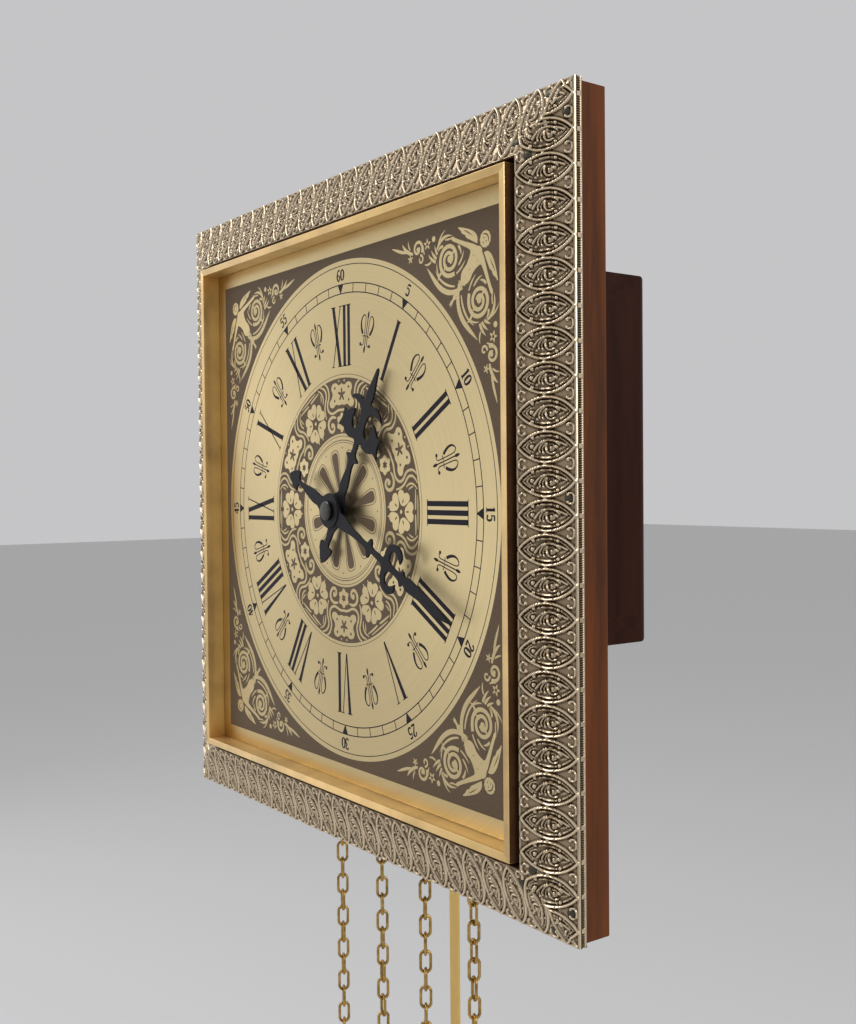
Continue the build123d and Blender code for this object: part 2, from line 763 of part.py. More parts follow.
parts["minute_hand"] = slab(Rot(0, 0, -minute_angle) * minute_outline() - Circle(cannon_pipe_r + pipe_fit),
                            minute_front, minute_back)
parts["hour_hand"] = slab(Rot(0, 0, -hour_angle) * hour_outline() - Circle(hour_pipe_r + pipe_fit),
                          hour_front, hour_back)
nut_bore = arbor_r + pipe_fit
nut_bottom = arbor_front - pipe_fit
parts["hand_nut"] = turned_y([
    (nut_bore, minute_front),
    (hand_nut_r, minute_front),
    (hand_nut_r, minute_front - 0.3 * hand_nut_height),
    (0.86 * hand_nut_r, minute_front - 0.62 * hand_nut_height),
    (0.55 * hand_nut_r, minute_front - 0.88 * hand_nut_height),
    (0, minute_front - hand_nut_height),
    (0, nut_bottom),
    (nut_bore, nut_bottom),
])

# Anchor, crutch and suspension

bridge_back = pendulum_y - spring_width / 2 - 2 * fork_fit
bridge_front = bridge_back - cock_metal
crutch_layer = (back_plate_back + 2 * fork_fit, back_plate_back + 2 * fork_fit + crutch_metal)
anchor_z = anchor_place[1]
band_r = escape_r + anchor_gap
side_x = 2 * band_r * sin(radians(anchor_span_deg))
side_z = 2 * band_r * cos(radians(anchor_span_deg))
band = Circle(band_r + anchor_band) - Circle(band_r)
band &= Polygon((0, 0), (side_x, side_z), (0, 3 * band_r), (-side_x, side_z), align=None)
anchor = Pos(*escape_place) * band + Pos(*anchor_place) * Circle(2.6 * arbor_r)
anchor_arbor = (rod_y(arbor_r, front_plate_back + end_shake, bridge_front - end_shake, anchor_place)
                + rod_y(pivot_r, front_plate_front + pivot_fit, front_plate_back + end_shake, anchor_place)
                + rod_y(pivot_r, bridge_front - end_shake, bridge_back - pivot_fit, anchor_place))
parts["pallet_anchor"] = slab(anchor, *escape_layer) + anchor_arbor

fork_in = rod_width / 2 + fork_fit
fork_out = fork_in + fork_prong
fork_z = anchor_z - crutch_drop
fork_height = 2.5 * fork_prong
crutch = slab(Pos(0, anchor_z) * Circle(3.2 * arbor_r)
              + Pos(0, anchor_z - crutch_drop / 2) * Rectangle(crutch_width, crutch_drop)
              - Pos(0, anchor_z) * Circle(arbor_r + pipe_fit), *crutch_layer)
crutch += block(-fork_out, fork_out, *crutch_layer, fork_z, fork_z + fork_height)
for side in (-1, 1):
    prong = side * (fork_in + fork_out) / 2
    crutch += block(prong - fork_prong / 2, prong + fork_prong / 2, crutch_layer[0],
                    pendulum_y + 2 * rod_metal, fork_z, fork_z + fork_height)
parts["crutch"] = crutch

block_half = rod_width / 2 + fork_prong
cock = block(-cock_half_width, cock_half_width, bridge_front, bridge_back,
             anchor_z - cock_height / 2, anchor_z + cock_height / 2)
for side in (-1, 1):
    foot_x = side * cock_screw_x
    cock += block(foot_x - cock_foot / 2, foot_x + cock_foot / 2, back_plate_back, bridge_front,
                  anchor_z - cock_height / 2, anchor_z + cock_height / 2)
    cock += rod_y(spigot_r, back_plate_front, back_plate_back, (foot_x, anchor_z))
cock += block(-block_half, block_half, bridge_back, pendulum_y + spring_width / 2 + 2 * fork_fit,
              anchor_z + 0.5, anchor_z + hanger_block)
cock -= block(-spring_slit / 2, spring_slit / 2, pendulum_y - spring_width / 2 - fork_fit,
              pendulum_y + spring_width / 2 + 2 * fork_fit, anchor_z, anchor_z + spring_above + fork_fit)
parts["suspension_cock"] = cock - rod_y(pivot_r + pivot_fit, bridge_front, bridge_back, anchor_place)

spring_foot = anchor_z - spring_below
spring_block = 8.0
rod_seat = 5.0
spring = block(-spring_metal / 2, spring_metal / 2, pendulum_y - spring_width / 2, pendulum_y + spring_width / 2,
               spring_foot - 0.2 * spring_block, anchor_z + spring_above)
spring += block(-block_half, block_half, pendulum_y - spring_width / 2, pendulum_y + spring_width / 2,
                spring_foot - spring_block, spring_foot)
spring -= block(-rod_width / 2 - rod_fit, rod_width / 2 + rod_fit, pendulum_y - rod_metal / 2 - rod_fit,
                pendulum_y + rod_metal / 2 + rod_fit, spring_foot - spring_block, spring_foot - spring_block + rod_seat)
parts["suspension_spring"] = spring

# Pendulum

bob_z = anchor_z - bob_drop
rod_foot = bob_z - bob_r + 2 * thread_r
rod = block(-rod_width / 2, rod_width / 2, pendulum_y - rod_metal / 2, pendulum_y + rod_metal / 2,
            rod_foot, spring_foot - spring_block + rod_seat - rod_fit)
thread = Pos(0, pendulum_y, rod_foot + thread_r - thread_length / 2) * Cylinder(thread_r, thread_length)
parts["pendulum_rod"] = rod + thread

bulge = bob_thickness / 2
rim = bob_edge / 2
dome_r = (bob_r ** 2 + (bulge - rim) ** 2) / (2 * (bulge - rim))
bob = rod_y(bob_r, pendulum_y - bulge, pendulum_y + bulge, (0, bob_z))
for face in (-1, 1):
    bob &= Pos(0, pendulum_y + face * (bulge - dome_r), bob_z) * Sphere(dome_r)
bob -= block(-rod_width / 2 - rod_fit, rod_width / 2 + rod_fit, pendulum_y - rod_metal / 2 - rod_fit,
             pendulum_y + rod_metal / 2 + rod_fit, bob_z - 1.1 * bob_r, bob_z + 1.1 * bob_r)
bob -= Pos(0, pendulum_y, rod_foot) * Cylinder(thread_r + rod_fit, 6 * thread_r)
parts["pendulum_bob"] = bob

rating_top = bob_z - bob_r - rod_fit
parts["rating_nut"] = turned_z([
    (thread_r + pipe_fit, rating_top),
    (0.6 * rating_r, rating_top),
    (rating_r, rating_top - 0.3 * rating_height),
    (rating_r, rating_top - rating_height),
    (thread_r + pipe_fit, rating_top - rating_height),
], 0, pendulum_y)

# Striking work

strike_phase = 0.0
pin_leaf_phase = mesh_phase(strike_phase, great_teeth, leaf_teeth, bearing_between(strike_place, pin_wheel_place))
fly_leaf_phase = mesh_phase(0.0, pin_wheel_teeth, fly_teeth, bearing_between(pin_wheel_place, fly_place))
lift_layer = (great_layer[1], great_layer[1] + leaf_length - layer_gap)
hammer_layer = (great_layer[1] + 0.5 * layer_gap, lift_layer[1] - 0.2)
hammer_y = (hammer_layer[0] + hammer_layer[1]) / 2

parts["strike_great_wheel"] = (crossed_wheel(great_teeth, great_module, strike_phase, strike_layer, strike_place)
                               + arbor(strike_place))
pin_wheel = (slab(Pos(*pin_wheel_place) * gear_outline(pin_wheel_teeth, pin_wheel_module, 0.0), *great_layer)
             + slab(Pos(*pin_wheel_place) * gear_outline(leaf_teeth, great_module, pin_leaf_phase),
                    front_plate_back + end_shake, strike_layer[1] + layer_gap)
             + arbor(pin_wheel_place))
for number in range(lift_pins):
    across, up = place_polar(lift_pin_circle, 360.0 * number / lift_pins)
    spot = (pin_wheel_place[0] + across, pin_wheel_place[1] + up)
    pin_wheel += rod_y(lift_pin_r, great_layer[0], lift_layer[1], spot)
parts["pin_wheel"] = pin_wheel

vane_layer = (lift_layer[1] + layer_gap, back_plate_front - 2 * layer_gap)
parts["fly"] = (leaves(fly_teeth, pin_wheel_module, fly_leaf_phase, great_layer, fly_place)
                + arbor(fly_place)
                + block(fly_place[0] - fly_r, fly_place[0] + fly_r, *vane_layer,
                        fly_place[1] - fly_metal / 2, fly_place[1] + fly_metal / 2))

tail_bearing = bearing_between(hammer_place, pin_wheel_place)
tail_length = (hypot(pin_wheel_place[0] - hammer_x, pin_wheel_place[1] - hammer_z)
               - lift_pin_circle - lift_pin_r - lift_clearance)
tail_middle = place_polar(tail_length / 2, tail_bearing)
hammer_face = (Circle(2.6 * arbor_r)
               + Pos(*tail_middle) * Rot(0, 0, tail_bearing) * Rectangle(tail_length, hammer_arm)
               + Pos(0, -hammer_drop / 2) * Rectangle(hammer_arm, hammer_drop))
hammer_head = Pos(hammer_x, hammer_y, hammer_z - hammer_drop) * Rot(0, 90, 0) * Cylinder(hammer_r, hammer_length)
parts["hammer"] = slab(Pos(*hammer_place) * hammer_face, *hammer_layer) + arbor(hammer_place) + hammer_head

gong_x = hammer_x - hammer_length / 2 - gong_gap - gong_rod_r
gong_rod_top = case_in_top - gong_block_height + gong_seat
gong_rod_length = gong_rod_top - case_in_bottom - gong_rod_gap
gong_block = block(gong_x - 4 * gong_rod_r, gong_x + 4 * gong_rod_r,
                   hammer_y - gong_rod_spacing / 2 - 4 * gong_rod_r, hammer_y + gong_rod_spacing / 2 + 4 * gong_rod_r,
                   case_in_top - gong_block_height, case_in_top)
gong_rods = []
for side in (-1, 1):
    rod_spot = Pos(gong_x, hammer_y + side * gong_rod_spacing / 2, gong_rod_top - gong_rod_length / 2)
    gong_rods.append(rod_spot * Cylinder(gong_rod_r, gong_rod_length))
    gong_block -= rod_spot * Cylinder(gong_rod_r + pivot_fit, gong_rod_length + 2 * pivot_fit)
parts["gong_block"] = gong_block
parts["gong_rods"] = gong_rods

# Chain wheels, chains, weights and rings

link = chain_link()


def chain_wheel(place):
    """Grooved wheel running on the great arbor: every second link lies in the groove."""
    bore = arbor_r + pipe_fit
    rim_r = chain_r - link_wire / 2 - groove_fit
    groove_r = chain_r - link_width / 2 - groove_fit
    groove = link_wire / 2 + groove_fit
    return turned_y([
        (bore, chain_y - chain_half),
        (rim_r, chain_y - chain_half),
        (rim_r, chain_y - groove),
        (groove_r, chain_y - groove),
        (groove_r, chain_y + groove),
        (rim_r, chain_y + groove),
        (rim_r, chain_y + chain_half),
        (bore, chain_y + chain_half),
    ], place)


def driving_weight(x, start):
    """Turned weight with a cap at each end and an eye in the last link."""
    eye, eye_z = hung_ring(x, weight_links, start, eye_r, eye_wire)
    neck_top = eye_z - eye_r + eye_wire / 2
    cap_top = neck_top - weight_neck
    cap_r = weight_r + weight_cap_proud
    base = cap_top - weight_length
    body = turned_z([
        (0, neck_top),
        (1.4 * eye_wire, neck_top),
        (2.0 * eye_wire, cap_top + 0.4 * weight_cap),
        (0.6 * cap_r, cap_top),
        (cap_r, cap_top - 0.5 * weight_cap),
        (cap_r, cap_top - weight_cap),
        (weight_r, cap_top - weight_cap),
        (weight_r, base + weight_cap),
        (cap_r, base + weight_cap),
        (cap_r, base + 0.5 * weight_cap),
        (0.6 * cap_r, base),
        (0, base),
    ], x, chain_y)
    return body + eye


for train, place, outer_start, inner_start, hand in (("going", going_place, 0, 1, 1), ("strike", strike_place, 1, 0, -1)):
    outer_x = place[0] + hand * chain_r
    inner_x = place[0] - hand * chain_r
    parts[train + "_chain_wheel"] = chain_wheel(place)
    parts[train + "_chain_wrap"] = wrap_links(link, place)
    parts[train + "_weight_chain"] = strand_links(link, outer_x, weight_links, outer_start)
    parts[train + "_weight"] = driving_weight(outer_x, outer_start)
    ring, ring_z = hung_ring(inner_x, free_links, inner_start, ring_r, ring_wire)
    parts[train + "_free_chain"] = strand_links(link, inner_x, free_links, inner_start) + [ring]

# One file for each named piece

os.makedirs("parts", exist_ok=True)
for name, shape in parts.items():
    solids = shape if isinstance(shape, list) else [shape]
    export_step(Compound([solid for item in solids for solid in item.solids()]), "parts/" + name + ".step")
print(len(parts), "pieces")
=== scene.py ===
"""Dressing of a square wall clock: stamped surround, printed dial, hands, chains, weights and pendulum."""
from math import atan2, cos, hypot, pi, radians, sin
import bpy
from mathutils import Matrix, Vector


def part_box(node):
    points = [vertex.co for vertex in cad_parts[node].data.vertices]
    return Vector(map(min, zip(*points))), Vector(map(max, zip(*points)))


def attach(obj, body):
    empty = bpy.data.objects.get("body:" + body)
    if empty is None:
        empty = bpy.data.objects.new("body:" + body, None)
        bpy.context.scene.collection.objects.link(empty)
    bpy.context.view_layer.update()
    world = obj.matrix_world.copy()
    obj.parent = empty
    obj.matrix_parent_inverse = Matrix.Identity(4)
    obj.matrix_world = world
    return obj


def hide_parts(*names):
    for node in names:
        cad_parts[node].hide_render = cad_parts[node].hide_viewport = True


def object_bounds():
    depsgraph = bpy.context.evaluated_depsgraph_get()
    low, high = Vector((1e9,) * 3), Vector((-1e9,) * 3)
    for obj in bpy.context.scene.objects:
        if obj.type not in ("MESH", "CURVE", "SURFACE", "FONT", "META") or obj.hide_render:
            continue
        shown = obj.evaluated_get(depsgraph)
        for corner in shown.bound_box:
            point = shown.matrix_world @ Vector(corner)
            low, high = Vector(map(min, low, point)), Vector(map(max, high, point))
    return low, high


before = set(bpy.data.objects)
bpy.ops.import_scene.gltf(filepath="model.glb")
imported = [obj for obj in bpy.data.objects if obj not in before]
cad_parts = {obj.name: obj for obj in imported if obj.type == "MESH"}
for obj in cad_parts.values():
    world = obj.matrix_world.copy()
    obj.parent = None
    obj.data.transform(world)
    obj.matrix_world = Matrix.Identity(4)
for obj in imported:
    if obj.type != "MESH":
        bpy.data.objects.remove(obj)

from types import SimpleNamespace

import bmesh
import bpy
import numpy as np
from bpy.props import FloatProperty, FloatVectorProperty, IntProperty, PointerProperty
from mathutils import Matrix, Vector

bl_info = {
    "name": "Wall Clock Dressing",
    "version": (1, 0, 0),
    "blender": (4, 5, 0),
    "location": "3D View > Sidebar > Clock",
    "description": "Models the surround, dial, hands and finishes of a chain-wound wall clock on its frame",
    "category": "Object",
}

MM = 0.001
NEAR = 0.001
CAD_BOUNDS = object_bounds()
SIDE_TURN = {"top": 0, "right": 90, "bottom": 180, "left": 270}


# Places on the frame, in millimetres

def span(node):
    """Lowest and highest corner of a frame node, in millimetres."""
    low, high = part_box(node)
    return low / MM, high / MM


FASCIA_HIGH = span("fascia_top")[1]
RAIL_LOW, RAIL_HIGH = span("rail_top")
BEZEL_LOW, BEZEL_HIGH = span("bezel_top")
BOARD_HIGH = span("dial_board")[1]
MINUTE_LOW, MINUTE_HIGH = span("minute_hand")
HOUR_LOW, HOUR_HIGH = span("hour_hand")
NUT_LOW, NUT_HIGH = span("hand_nut")
DIAL_FRONT = span("dial_plate")[0].y


# Sizes and colours that a user may change

def length(label, about, size):
    """Length property with its default in millimetres."""
    return FloatProperty(name=label, description=about, default=size * MM, unit="LENGTH")


def colour(label, about, value):
    """Colour property with linear red, green and blue."""
    return FloatVectorProperty(name=label, description=about, default=value, size=3, min=0.0, max=1.0,
                               subtype="COLOR")


def power(label, about, watts):
    """Power property of a lamp."""
    return FloatProperty(name=label, description=about, default=watts, unit="POWER")


class ClockSizes(bpy.types.PropertyGroup):
    """Sizes of the stamped pattern, the print and the hands."""

    motif_count: IntProperty(name="Almonds", description="Almonds along one strip", default=25, min=3)
    relief: length("Relief", "Height of the stamped pattern", 1.3)
    fascia_cant: length("Cant", "How far the stamped strip's inner edge stands forward", 8.0)
    fascia_width: length("Strip width", "Stamped strip seen from the front", 25.5)
    side_fold: length("Side fold", "Metal folded back round the side", 3.2)
    pin_inner: length("Inner pins", "Row of pins to the strip's inner edge", 5.5)
    pin_outer: length("Outer pins", "Row of pins to the strip's outer edge", 3.7)
    field_half: length("Field", "Half the side of the printed square", 125.6)
    disc_radius: length("Disc", "Gold disc inside the printed square", 121.9)
    track_outer: length("Track outside", "Outer line of the minute track", 110.3)
    track_inner: length("Track inside", "Inner line of the minute track", 105.9)
    number_radius: length("Minute numbers", "Middle of the minute numbers", 114.9)
    numeral_outer: length("Hours outside", "Outer ends of the hour numerals", 100.1)
    numeral_inner: length("Hours inside", "Inner ends of the hour numerals", 70.4)
    mark_radius: length("Half-hour marks", "Middle of the half-hour marks", 88.8)
    ring_outer: length("Ring outside", "Outer edge of the flowered ring", 65.0)
    ring_inner: length("Ring inside", "Inner edge of the flowered ring", 37.7)
    print_depth: length("Print", "Thickness of one printed layer", 0.03)
    hand_edge: length("Hand edge", "Rounding of the hands' edges", 0.2)
    minute_angle: FloatProperty(name="Minute hand", description="Bearing of the minute hand from twelve",
                                default=radians(116.0), subtype="ANGLE")
    hour_angle: FloatProperty(name="Hour hand", description="Bearing of the hour hand from twelve",
                              default=radians(30.0), subtype="ANGLE")
    weight_links: IntProperty(name="Weight strand", description="Links over a weight", default=37, min=2)
    free_links: IntProperty(name="Free strand", description="Links down to a pull ring", default=45, min=2)
    link_inside: length("Link inside", "Inside length of a link", 9.06)
    link_pitch: length("Link pitch", "From link to link", 8.96)
    link_width: length("Link width", "Outside width of a link", 6.8)
    link_wire: length("Link wire", "Wire of a link", 1.6)
    ring_radius: length("Pull ring", "Middle of a pull ring's wire", 7.0)
    ring_wire: length("Ring wire", "Wire of a pull ring", 1.8)


class ClockColours(bpy.types.PropertyGroup):
    """Colours of the finishes."""

    gold: colour("Dial gold", "Brushed metal of the dial", (0.66, 0.53, 0.29))
    print_brown: colour("Print brown", "Printed square and ring", (0.150, 0.106, 0.068))
    ink: colour("Ink", "Numerals and minute track", (0.018, 0.015, 0.024))
    # Crest colour: rubbed wear with a painted highlight on the stamped metal's crests
    crest_wear_and_highlight: colour("Crest", "Rubbed crests of the stamped metal", (0.80, 0.66, 0.47))
    flat: colour("Flat", "Plain ground of the stamped metal", (0.37, 0.275, 0.175))
    # Recess colour: tarnish with painted shade in the stamped metal's grooves
    recess_tarnish_and_shade: colour("Recess", "Tarnish in the stamped metal", (0.030, 0.020, 0.012))
    gilt: colour("Gilt", "Slips round the dial", (0.90, 0.62, 0.27))
    mahogany: colour("Mahogany", "Light grain of the wooden sides", (0.160, 0.046, 0.013))
    dark_mahogany: colour("Dark mahogany", "Dark grain of the wooden sides", (0.068, 0.024, 0.010))
    case_wood: colour("Case", "Stained wood of the case behind the dial", (0.038, 0.0095, 0.0045))
    brass: colour("Brass", "Polished brass", (0.82, 0.56, 0.18))
    chain: colour("Chain", "Aged brass of the chains", (0.62, 0.39, 0.11))
    black: colour("Black", "Painted steel of the hands", (0.014, 0.013, 0.017))
    steel: colour("Steel", "Plain steel", (0.42, 0.42, 0.43))
    floor: colour("Floor", "Floor", (0.80, 0.80, 0.81))
    background: colour("Background", "Plain background", (0.56, 0.56, 0.57))


class ClockStage(bpy.types.PropertyGroup):
    """Camera, light and floor."""

    eye: FloatVectorProperty(name="Camera", description="Where the camera stands", size=3,
                             subtype="TRANSLATION", unit="LENGTH", default=(0.48534, -0.38752, 0.01202))
    yaw: FloatProperty(name="Yaw", description="Turn to the left of straight ahead", default=radians(54.01),
                       subtype="ANGLE")
    pitch: FloatProperty(name="Pitch", description="Tilt upwards", default=radians(-1.3226), subtype="ANGLE")
    roll: FloatProperty(name="Roll", description="Turn about the line of sight", default=radians(-0.5187),
                        subtype="ANGLE")
    lens: FloatProperty(name="Lens", description="Focal length in millimetres", default=40.78)
    floor_drop: length("Floor drop", "Lowest piece to the floor", 90.0)
    key: power("Key light", "Power of the window at the left", 4.0)
    fill: power("Fill light", "Power of the soft light above", 9.0)
    side: power("Side light", "Power of the soft light at the right", 9.0)
    ambient: FloatProperty(name="Ambient", description="Level of the light from all round", default=0.45)


def measures():
    """Sizes as they are set, with the lengths in millimetres."""
    group = bpy.context.scene.clock_sizes
    kept = {}
    for key in group.__annotations__:
        value = getattr(group, key)
        kept[key] = value / MM if group.bl_rna.properties[key].unit == "LENGTH" else value
    return SimpleNamespace(**kept)


def tint(name):
    """Colour that is set under a name."""
    return tuple(getattr(bpy.context.scene.clock_colours, name))


# Finishes

def add(tree, kind, inputs=(), **settings):
    """New shader node with its settings, and its inputs given as values or as sockets to link."""
    node = tree.nodes.new("ShaderNode" + kind)
    for key, value in settings.items():
        setattr(node, key, value)
    for key, value in dict(inputs).items():
        if isinstance(value, bpy.types.NodeSocket):
            tree.links.new(value, node.inputs[key])
        else:
            node.inputs[key].default_value = value
    return node


def blank_material(name, **sockets):
    """Material with a principled shader whose constant sockets are set."""
    material = bpy.data.materials.new("finish_" + name)
    material.use_nodes = True
    tree = material.node_tree
    shader = tree.nodes["Principled BSDF"]
    for key, value in sockets.items():
        shader.inputs[key.replace("_", " ")].default_value = value
    return material, tree, shader


def ramp(tree, factor, *stops):
    """Colour ramp over a factor, with (position, colour) stops."""
    node = add(tree, "ValToRGB", {"Fac": factor})
    elements = node.color_ramp.elements
    while len(elements) < len(stops):
        elements.new(0.5)
    for element, (position, shade) in zip(elements, stops):
        element.position = position
        element.color = (*shade, 1.0)
    return node.outputs["Color"]


def between(tree, factor, low, high):
    """Map a factor from 0 and 1 to two values."""
    return add(tree, "MapRange", {"Value": factor, "To Min": low, "To Max": high}).outputs["Result"]


def noise(tree, place, scale, detail=3.0, stretch=(1.0, 1.0, 1.0)):
    """Noise factor over a place, stretched along the axes."""
    spot = add(tree, "Mapping", {"Vector": place, "Scale": stretch}).outputs["Vector"]
    return add(tree, "TexNoise", {"Vector": spot, "Scale": scale, "Detail": detail}).outputs["Fac"]


def object_place(tree):
    """Object coordinates."""
    return add(tree, "TexCoord").outputs["Object"]


def roughen(tree, shader, factor, low, high):
    """Let a factor vary the roughness."""
    tree.links.new(between(tree, factor, low, high), shader.inputs["Roughness"])


def bump(tree, shader, factor, strength, distance):
    """Let a factor raise the surface a little."""
    node = add(tree, "Bump", {"Height": factor, "Strength": strength, "Distance": distance})
    tree.links.new(node.outputs["Normal"], shader.inputs["Normal"])


def paint(tree, shader, shade):
    """Link a colour to the shader."""
    tree.links.new(shade, shader.inputs["Base Color"])


def scaled(shade, share):
    """A colour made lighter or darker."""
    return tuple(min(1.0, part * share) for part in shade)


RINGS_PER_METRE = 2600.0


def brushed_gold():
    """Dial metal with brushing in circles round the arbor."""
    material, tree, shader = blank_material("brushed_gold", Metallic=1.0, Anisotropic=0.72)
    split = add(tree, "SeparateXYZ", {"Vector": object_place(tree)})
    flat = add(tree, "CombineXYZ", {"X": split.outputs["X"], "Y": split.outputs["Z"]}).outputs["Vector"]
    radius = add(tree, "VectorMath", {0: flat}, operation="LENGTH").outputs["Value"]
    heading = add(tree, "VectorMath", {0: flat}, operation="NORMALIZE").outputs["Vector"]
    spread = add(tree, "Math", {0: radius, 1: RINGS_PER_METRE}, operation="MULTIPLY").outputs[0]
    across = add(tree, "CombineXYZ", {"Z": spread}).outputs["Vector"]
    wound = add(tree, "VectorMath", {0: heading, 1: across}, operation="ADD").outputs["Vector"]
    lines = noise(tree, wound, 1.0, 4.0)
    cloud = noise(tree, object_place(tree), 14.0)
    gold = tint("gold")
    paint(tree, shader, ramp(tree, lines, (0.25, scaled(gold, 0.93)), (0.75, scaled(gold, 1.05))))
    roughen(tree, shader, cloud, 0.34, 0.44)
    bump(tree, shader, lines, 0.12, 0.00002)
    tangent = add(tree, "Tangent", direction_type="RADIAL", axis="Y")
    tree.links.new(tangent.outputs["Tangent"], shader.inputs["Tangent"])
    return material


def printed(name, shade, roughness):
    """Screen-printed ink, a little uneven."""
    material, tree, shader = blank_material(name, Specular_IOR_Level=0.09)
    speckle = noise(tree, object_place(tree), 900.0)
    paint(tree, shader, ramp(tree, speckle, (0.3, scaled(shade, 0.88)), (0.7, scaled(shade, 1.1))))
    roughen(tree, shader, speckle, roughness - 0.05, roughness + 0.08)
    return material


def stamped_metal():
    """Antique plated metal, light on the crests and dark in the recesses: rubbed wear with a painted
    highlight on the crests, tarnish with painted shade in the recesses.
    """
    material, tree, shader = blank_material("stamped_metal", Metallic=0.92, Specular_IOR_Level=0.2)
    relief = add(tree, "Attribute", attribute_name="relief").outputs["Fac"]
    place = object_place(tree)
    tarnish = noise(tree, place, 260.0, 4.0)
    uneven = between(tree, tarnish, -0.10, 0.10)
    level = add(tree, "Math", {0: uneven, 1: relief}, operation="ADD").outputs[0]
    # Ramp from painted shade in the grooves, through the plain ground, to a painted highlight on the crests,
    # over tarnish and rubbed wear
    stops = (0.16, tint("recess_tarnish_and_shade")), (0.44, tint("flat")), (0.88, tint("crest_wear_and_highlight"))
    paint(tree, shader, ramp(tree, level, *stops))
    roughen(tree, shader, level, 0.44, 0.20)
    bump(tree, shader, noise(tree, place, 1400.0), 0.15, 0.00004)
    return material


def gilt():
    """Gold leaf finish with faint long streaks and rubbed patches."""
    material, tree, shader = blank_material("gilt", Metallic=0.7)
    place = object_place(tree)
    patch = noise(tree, place, 45.0, 5.0)
    gold = tint("gilt")
    stops = (0.28, scaled(gold, 0.72)), (0.55, gold), (0.8, scaled(gold, 1.18))
    paint(tree, shader, ramp(tree, patch, *stops))
    roughen(tree, shader, patch, 0.28, 0.44)
    bump(tree, shader, noise(tree, place, 320.0, 3.0, (1.0, 6.0, 1.0)), 0.18, 0.00005)
    return material


def wood(name, light, dark, stretch, gloss):
    """Varnished wood with its grain along the axis of the smallest stretch."""
    material, tree, shader = blank_material(name, Specular_IOR_Level=gloss)
    place = object_place(tree)
    figure = noise(tree, place, 9.0, 5.0, stretch)
    fibre = noise(tree, place, 60.0, 3.0, stretch)
    grain = add(tree, "Math", {0: figure, 1: between(tree, fibre, -0.16, 0.16)}, operation="ADD").outputs[0]
    middle = tuple((a + b) / 2 for a, b in zip(light, dark))
    paint(tree, shader, ramp(tree, grain, (0.3, dark), (0.5, middle), (0.72, light)))
    roughen(tree, shader, fibre, 0.34, 0.52)
    bump(tree, shader, fibre, 0.10, 0.00012)
    return material


def metal(name, shade, low, high, scale=120.0, wear=0.8, bare=1.0):
    """Plain metal with cloudy colour and roughness, wholly bare or under a film of lacquer."""
    material, tree, shader = blank_material(name, Metallic=bare)
    place = object_place(tree)
    cloud = noise(tree, place, scale, 4.0)
    paint(tree, shader, ramp(tree, cloud, (0.3, scaled(shade, wear)), (0.7, shade)))
    roughen(tree, shader, cloud, low, high)
    bump(tree, shader, noise(tree, place, 10.0 * scale), 0.08, 0.00003)
    return material


def black_paint():
    """Satin black paint on steel."""
    material, tree, shader = blank_material("black_paint", Specular_IOR_Level=0.15)
    grain = noise(tree, object_place(tree), 700.0)
    black = tint("black")
    paint(tree, shader, ramp(tree, grain, (0.3, scaled(black, 0.8)), (0.7, scaled(black, 1.4))))
    roughen(tree, shader, grain, 0.44, 0.58)
    bump(tree, shader, grain, 0.08, 0.00003)
    return material


GRAIN_ALONG_X = (1.0, 14.0, 14.0)
GRAIN_ALONG_Z = (14.0, 14.0, 1.0)
GRAIN_CLOUDED = (5.0, 5.0, 5.0)
RAW_LIGHT, RAW_DARK = (0.10, 0.045, 0.018), (0.045, 0.018, 0.008)
BOARD_LIGHT, BOARD_DARK = (0.30, 0.17, 0.08), (0.17, 0.085, 0.04)
PIN_GREY, BLUED_GREY = (0.10, 0.092, 0.07), (0.075, 0.074, 0.07)


def finish(name):
    """Material by name, made when it is first asked for."""
    made = bpy.data.materials.get("finish_" + name)
    if made:
        return made
    light, dark, case = tint("mahogany"), tint("dark_mahogany"), tint("case_wood")
    brass, steel, brown = tint("brass"), tint("steel"), tint("print_brown")
    makers = {
        "brushed_gold": brushed_gold,
        "print_brown": lambda: printed(name, brown, 0.42),
        "petal_brown": lambda: printed(name, scaled(brown, 1.2), 0.42),
        "ink": lambda: printed(name, tint("ink"), 0.38),
        "stamped_metal": stamped_metal,
        "gilt": gilt,
        "mahogany_level": lambda: wood(name, light, dark, GRAIN_ALONG_X, 0.1),
        "mahogany_upright": lambda: wood(name, light, dark, GRAIN_ALONG_Z, 0.1),
        "case_level": lambda: wood(name, case, scaled(case, 0.5), GRAIN_ALONG_X, 0.09),
        "case_upright": lambda: wood(name, case, scaled(case, 0.5), GRAIN_ALONG_Z, 0.09),
        "raw_wood": lambda: wood(name, RAW_LIGHT, RAW_DARK, GRAIN_CLOUDED, 0.06),
        "board": lambda: wood(name, BOARD_LIGHT, BOARD_DARK, GRAIN_ALONG_X, 0.1),
        "pin_steel": lambda: metal(name, PIN_GREY, 0.35, 0.55),
        "polished_brass": lambda: metal(name, brass, 0.15, 0.25, 60.0, 0.9),
        "satin_brass": lambda: metal(name, brass, 0.34, 0.46, 90.0, 0.9, 0.75),
        "plate_brass": lambda: metal(name, scaled(brass, 0.9), 0.28, 0.42),
        "chain_brass": lambda: metal(name, tint("chain"), 0.16, 0.34, 300.0, 0.45),
        "black_paint": black_paint,
        "blued_steel": lambda: metal(name, BLUED_GREY, 0.2, 0.34),
        # Very dark steel, which also stands as painted shade on the brass hour wheel
        "dark_steel": lambda: metal(name, scaled(steel, 0.2), 0.35, 0.5),
        "steel": lambda: metal(name, steel, 0.24, 0.4),
    }
    return makers[name]()


# Pieces

